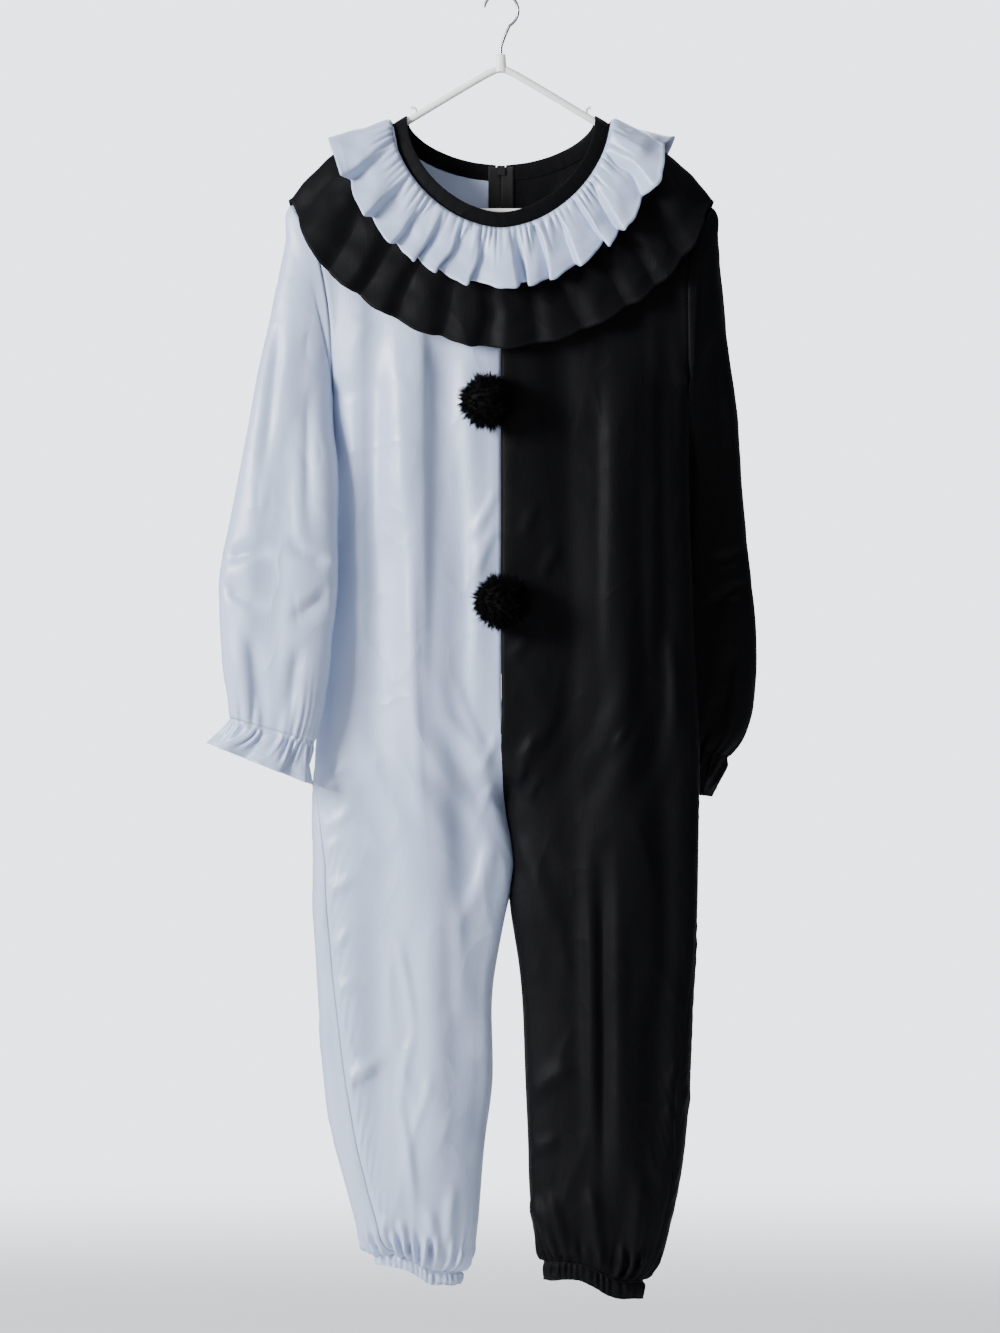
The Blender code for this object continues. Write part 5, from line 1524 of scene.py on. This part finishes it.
def make_pompoms(fur):
    fronts = cloth_tree([(panels["front_left"], False), (panels["front_right"], False)])
    for number, (name, (x, z)) in enumerate(POMPOMS.items()):
        below = []
        for across in POM_FEEL:
            for up in POM_FEEL:
                start = Vector((x + across, -0.3, z + up))
                hit = fronts.ray_cast(start, Vector((0.0, 1.0, 0.0)))[0]
                below.append(hit.y if hit else 0.0)
        centre = (x, min(below) - WALL / 2 - POM_GAP - POM_BACK, z)
        points, polygons = fur_ball(random.Random(17 + number))
        pompom = mesh_piece(f"{name}_fur", points, polygons, fur, centre)
        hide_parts(name)


make_pompoms(acrylic_fur())


# ---- Back zip ---------------------------------------------------------------
# A nylon coil zip closes the back from the neck to the seat: woven tapes sewn inside, a coil
# of 1.2 mm pitch on each, and a black enamelled slider with a flat tab that swings on its pin.

TAPE_WIDTH = 0.0160
TAPE_WALL = 0.0007
TAPE_SPLIT = 0.0003        # from the centre to each tape's edge
TAPE_UNDER = 0.0004        # between the cloth and the tape
TAPE_BELOW = 0.004         # how far they run on past the zip's foot
TAPE_SPACING = 0.008
TAPE_PLACES = 6            # points across
TAPE_LEAN = 0.8            # its far edge lies further under the cloth by this share
TOOTH_PITCH = 0.0012
TOOTH = (0.0021, 0.0007, 0.00042)      # half width, half depth, half height
TOOTH_ASIDE = 0.0003       # each lies this far to its own side
TOOTH_SIDES = 6
TOOTH_TAPER = 0.55         # its ends are thinner, and round off over the rest of its length
SLIDER_FOOT = -0.2265      # the coil is closed below it
TAPE_RISE = 0.0165         # above the neck seam, between the ends of the binding


def woven_tape():
    """Polyester tape in a fine herringbone, matt, a little paler along its ribs."""
    material, tree, shader = new_material("woven_zip_tape", Roughness=0.78, Specular_IOR_Level=0.3,
                                          Sheen_Weight=0.15)
    threads = add_node(tree, "ShaderNodeUVMap")
    # ribs are 0.6 mm apart along the tape
    ribs = add_node(tree, "ShaderNodeTexWave", {"Scale": 260.0, "Distortion": 0.8, "Detail": 1.0},
                    {"Vector": threads.outputs["UV"]}, bands_direction="DIAGONAL")
    tone = add_node(tree, "ShaderNodeMix", {"A": linear("#060607"), "B": linear("#101012")},
                    {"Factor": ribs.outputs["Fac"]}, data_type="RGBA")
    tree.links.new(tone.outputs["Result"], shader.inputs["Base Color"])
    bump = add_node(tree, "ShaderNodeBump", {"Strength": 0.5, "Distance": 0.0002},
                    {"Height": ribs.outputs["Fac"]})
    tree.links.new(bump.outputs["Normal"], shader.inputs["Normal"])
    return material


def nylon_coil():
    """Extruded nylon monofilament, dyed black, with a smooth slightly waxy gloss."""
    material, tree, shader = new_material("nylon_coil", Roughness=0.34, IOR=1.53)
    place = add_node(tree, "ShaderNodeTexCoord")
    # the slider rubs it paler in patches, about 20 mm long
    wear = add_node(tree, "ShaderNodeTexNoise", {"Scale": 50.0, "Detail": 3.0},
                    {"Vector": place.outputs["Object"]})
    tone = add_node(tree, "ShaderNodeMix", {"A": linear("#0E0E10"), "B": linear("#1E1E21")},
                    {"Factor": wear.outputs["Fac"]}, data_type="RGBA")
    tree.links.new(tone.outputs["Result"], shader.inputs["Base Color"])
    return material


def enamelled_zinc():
    """Die-cast zinc under baked black enamel: even and glossy, with faint pits and rub marks."""
    material, tree, shader = new_material("black_enamelled_zinc", Roughness=0.28, IOR=1.52)
    place = add_node(tree, "ShaderNodeTexCoord")
    # pits about 1 mm apart
    pits = add_node(tree, "ShaderNodeTexNoise", {"Scale": 900.0, "Detail": 2.0},
                    {"Vector": place.outputs["Object"]})
    tone = add_node(tree, "ShaderNodeMix", {"A": linear("#101012"), "B": linear("#232326")},
                    {"Factor": pits.outputs["Fac"]}, data_type="RGBA")
    tree.links.new(tone.outputs["Result"], shader.inputs["Base Color"])
    rub = add_node(tree, "ShaderNodeMapRange", {"To Min": 0.22, "To Max": 0.42},
                   {"Value": pits.outputs["Fac"]})
    tree.links.new(rub.outputs["Result"], shader.inputs["Roughness"])
    bump = add_node(tree, "ShaderNodeBump", {"Strength": 0.2, "Distance": 0.0001},
                    {"Height": pits.outputs["Fac"]})
    tree.links.new(bump.outputs["Normal"], shader.inputs["Normal"])
    return material


def beside_zip(grid):
    """The rows of a back panel that lie beside the zip."""
    return grid[grid[:, 0, 2] > ZIP_FOOT - TAPE_BELOW]


def make_tapes(material):
    for side, side_name in ((-1, "left"), (1, "right")):
        kept = beside_zip(panels[f"back_{side_name}"])
        kept = np.concatenate([kept[:1] + (0.0, 0.0, TAPE_RISE), kept])
        inside = np.array((0.0, -(WALL / 2 + TAPE_WALL / 2 + TAPE_UNDER), 0.0))
        rows = []
        for line in kept:
            arc = distances(line)
            row = [np.array((side * TAPE_SPLIT, line[0, 1], line[0, 2])) + inside]
            for step in np.linspace(0.0, TAPE_WIDTH - ZIP_SLOT, TAPE_PLACES):
                point = read_along(step, arc, line)
                row.append(point + inside * (1.0 + TAPE_LEAN * step / TAPE_WIDTH))
            rows.append(row)
        piece = cloth_piece(f"zip_tape_{side_name}", refine(rows, TAPE_SPACING), material,
                            flip=side > 0, wall=TAPE_WALL)


def make_coil(material):
    """Each turn of the coil crosses the chain as a short rounded bar."""
    edge = beside_zip(panels["back_left"])[::-1, 0]
    half, deep, tall = TOOTH
    full = half * TOOTH_TAPER
    profile = ((-half, TOOTH_TAPER), (-full, 1.0), (full, 1.0), (half, TOOTH_TAPER))
    bar = corner_faces(grid_corners(len(profile), TOOTH_SIDES, True), TOOTH_SIDES).tolist()
    last = (len(profile) - 1) * TOOTH_SIDES
    bar += [list(range(TOOTH_SIDES)), [last + k for k in reversed(range(TOOTH_SIDES))]]
    vertices, faces = [], []
    for i in range(int((SLIDER_FOOT - ZIP_FOOT) / (TOOTH_PITCH / 2))):
        z = SLIDER_FOOT - i * TOOTH_PITCH / 2
        y = np.interp(z, edge[:, 2], edge[:, 1]) - WALL / 2
        side = -1 if i % 2 else 1
        faces += [[len(vertices) + k for k in face] for face in bar]
        for x, size in profile:
            for k in range(TOOTH_SIDES):
                angle = 2 * math.pi * k / TOOTH_SIDES
                vertices.append((side * (x + TOOTH_ASIDE), y + deep * size * math.cos(angle),
                                 z + tall * size * math.sin(angle)))
    mesh_piece("zip_coil", vertices, faces, material)


make_tapes(woven_tape())
make_coil(nylon_coil())
slider_metal = enamelled_zinc()
for name in ("zip_slider", "zip_pull"):
    for holder in bpy.data.objects[name].material_slots:
        holder.material = slider_metal


# ---- Stitching --------------------------------------------------------------
# Lockstitch in spun polyester thread of each cloth's own colour, about 3 mm a stitch: along
# the casings, the cuffs' elastic and hems, the rolled hems, the neck binding and the zip.

STITCH = 0.0031            # from one stitch to the next
STITCH_SHARE = 0.80        # how much of that lies on top of the cloth
STITCH_FORM = (0.0, 0.22, 0.78, 1.0)      # where it dives, is full, thins and dives again
THREAD = 0.00024           # half its thickness
ZIP_STITCH = 0.0062        # from the zip's edge to its stitching
CUFF_ELASTIC = 0.0030      # from the wrist to the line of elastic


def spun_polyester(name, base, shade):
    """Spun polyester thread: dull, with its two plies twisted together."""
    material, tree, shader = new_material(name, Roughness=0.72, Specular_IOR_Level=0.25)
    place = add_node(tree, "ShaderNodeTexCoord")
    # the plies cross every 0.7 mm
    twist = add_node(tree, "ShaderNodeTexWave", {"Scale": 450.0, "Distortion": 1.5, "Detail": 1.0},
                     {"Vector": place.outputs["Object"]}, bands_direction="DIAGONAL")
    tone = add_node(tree, "ShaderNodeMix", {"A": linear(shade), "B": linear(base)},
                    {"Factor": twist.outputs["Fac"]}, data_type="RGBA")
    tree.links.new(tone.outputs["Result"], shader.inputs["Base Color"])
    bump = add_node(tree, "ShaderNodeBump", {"Strength": 0.4, "Distance": 0.0001},
                    {"Height": twist.outputs["Fac"]})
    tree.links.new(bump.outputs["Normal"], shader.inputs["Normal"])
    return material


def seam_line(grid, normals, distance, from_foot=False):
    """A line across cloth at a distance from its top or its foot, and the way off the cloth."""
    if from_foot:
        grid, normals = grid[::-1], normals[::-1]
    line, ways = [], []
    for column in range(grid.shape[1]):
        arc = distances(grid[:, column])
        line.append(read_along(distance, arc, grid[:, column]))
        ways.append(read_along(distance, arc, normals[:, column]))
    return np.array(line), unit(np.array(ways))


def sew(lines, name, material):
    """One mesh of stitches along lines that lie on the cloth's own middle."""
    vertices, faces = [], []
    for points, ways, closed, lift in lines:
        if closed:
            points, ways = np.concatenate([points, points[:1]]), np.concatenate([ways, ways[:1]])
        arc = distances(points)
        for i in range(int(arc[-1] / STITCH)):
            starts = [(i + STITCH_SHARE * share) * STITCH for share in STITCH_FORM]
            spots = read_along(starts, arc, points)
            out = unit(read_along(starts[1], arc, ways))
            aside = unit(np.cross(spots[3] - spots[0], out))
            first = len(vertices)
            vertices.append(spots[0] + out * (lift - THREAD))
            for spot in spots[1:3]:
                for across, up in ((1.0, 0.0), (0.0, 1.0), (-1.0, 0.0), (0.0, -1.0)):
                    vertices.append(spot + aside * THREAD * across
                                    + out * (lift + THREAD * (0.4 + up)))
            vertices.append(spots[3] + out * (lift - THREAD))
            for k in range(4):
                n = (k + 1) % 4
                faces += [(first, first + 1 + n, first + 1 + k),
                          (first + 1 + k, first + 1 + n, first + 5 + n, first + 5 + k),
                          (first + 5 + k, first + 5 + n, first + 9)]
    mesh_piece(name, [tuple(vertex) for vertex in vertices], faces, material)


def make_stitching():
    lines = {-1: [], 1: []}
    wall = WALL / 2
    for side, side_name, material, slot in HALVES:
        cuff, ankle, panel = cuffs[side], ankles[side], panels[f"back_{side_name}"]
        normals = outward_normals(cuff, side > 0, closed=True)
        for line in (seam_line(cuff, normals, CUFF_HEM, from_foot=True),
                     seam_line(cuff, normals, CUFF_ELASTIC)):
            lines[side].append((*line, True, wall))
        normals = outward_normals(ankle, side > 0, closed=True)
        for share in CASING_STITCHES:
            line = seam_line(ankle, normals, ANKLE[side]["tall"] * share)
            lines[side].append((*line, True, wall))
        normals = outward_normals(panel, side < 0)
        kept = panel[:, 0, 2] > ZIP_FOOT
        turned, ways = panel[kept].transpose(1, 0, 2), normals[kept].transpose(1, 0, 2)
        lines[side].append((*seam_line(turned, ways, ZIP_STITCH), False, wall))
    turns, points, outward, off = neck_frame(BINDING_SPACING)
    points = points - outward * (BINDING_WIDTH * BINDING_STITCHES - BINDING_LAP)
    lines[1].append((points, off, False, BINDING_THICK * 0.75))
    off = neck_frame(RUFFLE_SPACING[1])[3]
    for side, name in ((-1, "ruffle_upper"), (1, "ruffle_lower")):
        normals = outward_normals(ruffles[name], True)
        normals = normals * np.sign(np.sum(normals * off, axis=2, keepdims=True))
        line = seam_line(ruffles[name], normals, ROLLED_HEM, from_foot=True)
        lines[side].append((*line, False, wall))
    white = spun_polyester("white_spun_thread", "#C2CCE2", "#A9B4CE")
    sew(lines[-1], "white_stitching", white)
    black = spun_polyester("black_spun_thread", "#141416", "#08080A")
    sew(lines[1], "black_stitching", black)


make_stitching()


# ---- Setting ----------------------------------------------------------------
# A pale floor under a plain bright sky, a soft light from the left of the front, weaker ones
# from above and behind, and the camera level with the waist.

FRAME_HEIGHT = 1.686       # height that the camera takes in at the garment
CAMERA_PLACE = (-0.00126, -12.0, -0.8495)
# name, place, width across, watts and colour of each light; they all point at one place
LIGHTS = (("key", (-2.7, -1.9, 0.3), 1.2, 265.0, "#FFFFFF"),
          ("top", (0.4, -0.9, 1.7), 1.0, 20.0, "#FFFFFF"),
          ("back", (0.1, 2.3, 1.2), 1.6, 45.0, "#F4F7FF"))
LIT_PLACE = (0.0, 0.0, -0.80)
FLOOR = -1.790
FLOOR_REACH = 24.0
FLOOR_SIDES = 48
PAPER_FADE = (1.9, 6.0)
BACKDROP = 3.40            # how bright the backdrop itself looks
SKY_STRENGTH = 0.38
SKY_TILT = (-0.35, 0.55, 0.20)       # how much its light grows to the right, back and up


def matt_paper():
    """Seamless studio paper: matt and nearly white, and lost in the light a few metres away."""
    material, tree, shader = new_material("matt_paper", Base_Color=linear("#F4F4F3"),
                                          Roughness=0.9)
    place = add_node(tree, "ShaderNodeTexCoord")
    away = add_node(tree, "ShaderNodeVectorMath", {}, {0: place.outputs["Object"]},
                    operation="LENGTH")
    fade = add_node(tree, "ShaderNodeMapRange",
                    {"From Min": PAPER_FADE[0], "From Max": PAPER_FADE[1],
                     "To Min": 1.0, "To Max": 0.0},
                    {"Value": away.outputs["Value"]}, interpolation_type="SMOOTHSTEP")
    tree.links.new(fade.outputs["Result"], shader.inputs["Alpha"])
    return material


def studio_sky():
    """Even studio light, stronger from the left and from above than from the right."""
    world = bpy.data.worlds.new("studio")
    world.use_nodes = True
    tree = world.node_tree
    shader = tree.nodes["Background"]
    way = add_node(tree, "ShaderNodeTexCoord")
    tilt = add_node(tree, "ShaderNodeVectorMath", {1: SKY_TILT}, {0: way.outputs["Generated"]},
                    operation="DOT_PRODUCT")
    level = add_node(tree, "ShaderNodeMath", {0: 1.0}, {1: tilt.outputs["Value"]},
                     operation="ADD")
    strength = add_node(tree, "ShaderNodeMath", {0: SKY_STRENGTH}, {1: level.outputs["Value"]},
                        operation="MULTIPLY")
    shader.inputs["Color"].default_value = linear("#EEF2FA")
    ray = add_node(tree, "ShaderNodeLightPath")
    seen = add_node(tree, "ShaderNodeMix", {"B": BACKDROP},
                    {"Factor": ray.outputs["Is Camera Ray"], "A": strength.outputs["Value"]},
                    data_type="FLOAT")
    tree.links.new(seen.outputs["Result"], shader.inputs["Strength"])
    return world


def make_setting():
    mesh = bpy.data.meshes.new("floor")
    turns = [2 * math.pi * k / FLOOR_SIDES for k in range(FLOOR_SIDES)]
    mesh.from_pydata([(FLOOR_REACH * math.cos(turn), FLOOR_REACH * math.sin(turn), FLOOR)
                      for turn in turns], [], [tuple(range(FLOOR_SIDES))])
    mesh.materials.append(matt_paper())
    floor = bpy.data.objects.new("floor", mesh)
    bpy.context.collection.objects.link(floor)
    for name, place, size, watts, colour in LIGHTS:
        data = bpy.data.lights.new(name, "AREA")
        data.size, data.energy, data.color = size, watts, linear(colour)[:3]
        lamp = bpy.data.objects.new(name, data)
        lamp.location = place
        lamp.rotation_mode = "QUATERNION"
        way = Vector(LIT_PLACE) - Vector(place)
        lamp.rotation_quaternion = way.to_track_quat("-Z", "Y")
        bpy.context.collection.objects.link(lamp)
    bpy.context.scene.world = studio_sky()
    data = bpy.data.cameras.new("camera")
    data.sensor_width = 36.0
    data.lens = -data.sensor_width * CAMERA_PLACE[1] / FRAME_HEIGHT
    camera = bpy.data.objects.new("camera", data)
    camera.location = CAMERA_PLACE
    camera.rotation_euler = (math.pi / 2, 0.0, 0.0)
    bpy.context.collection.objects.link(camera)
    bpy.context.scene.camera = camera


make_setting()
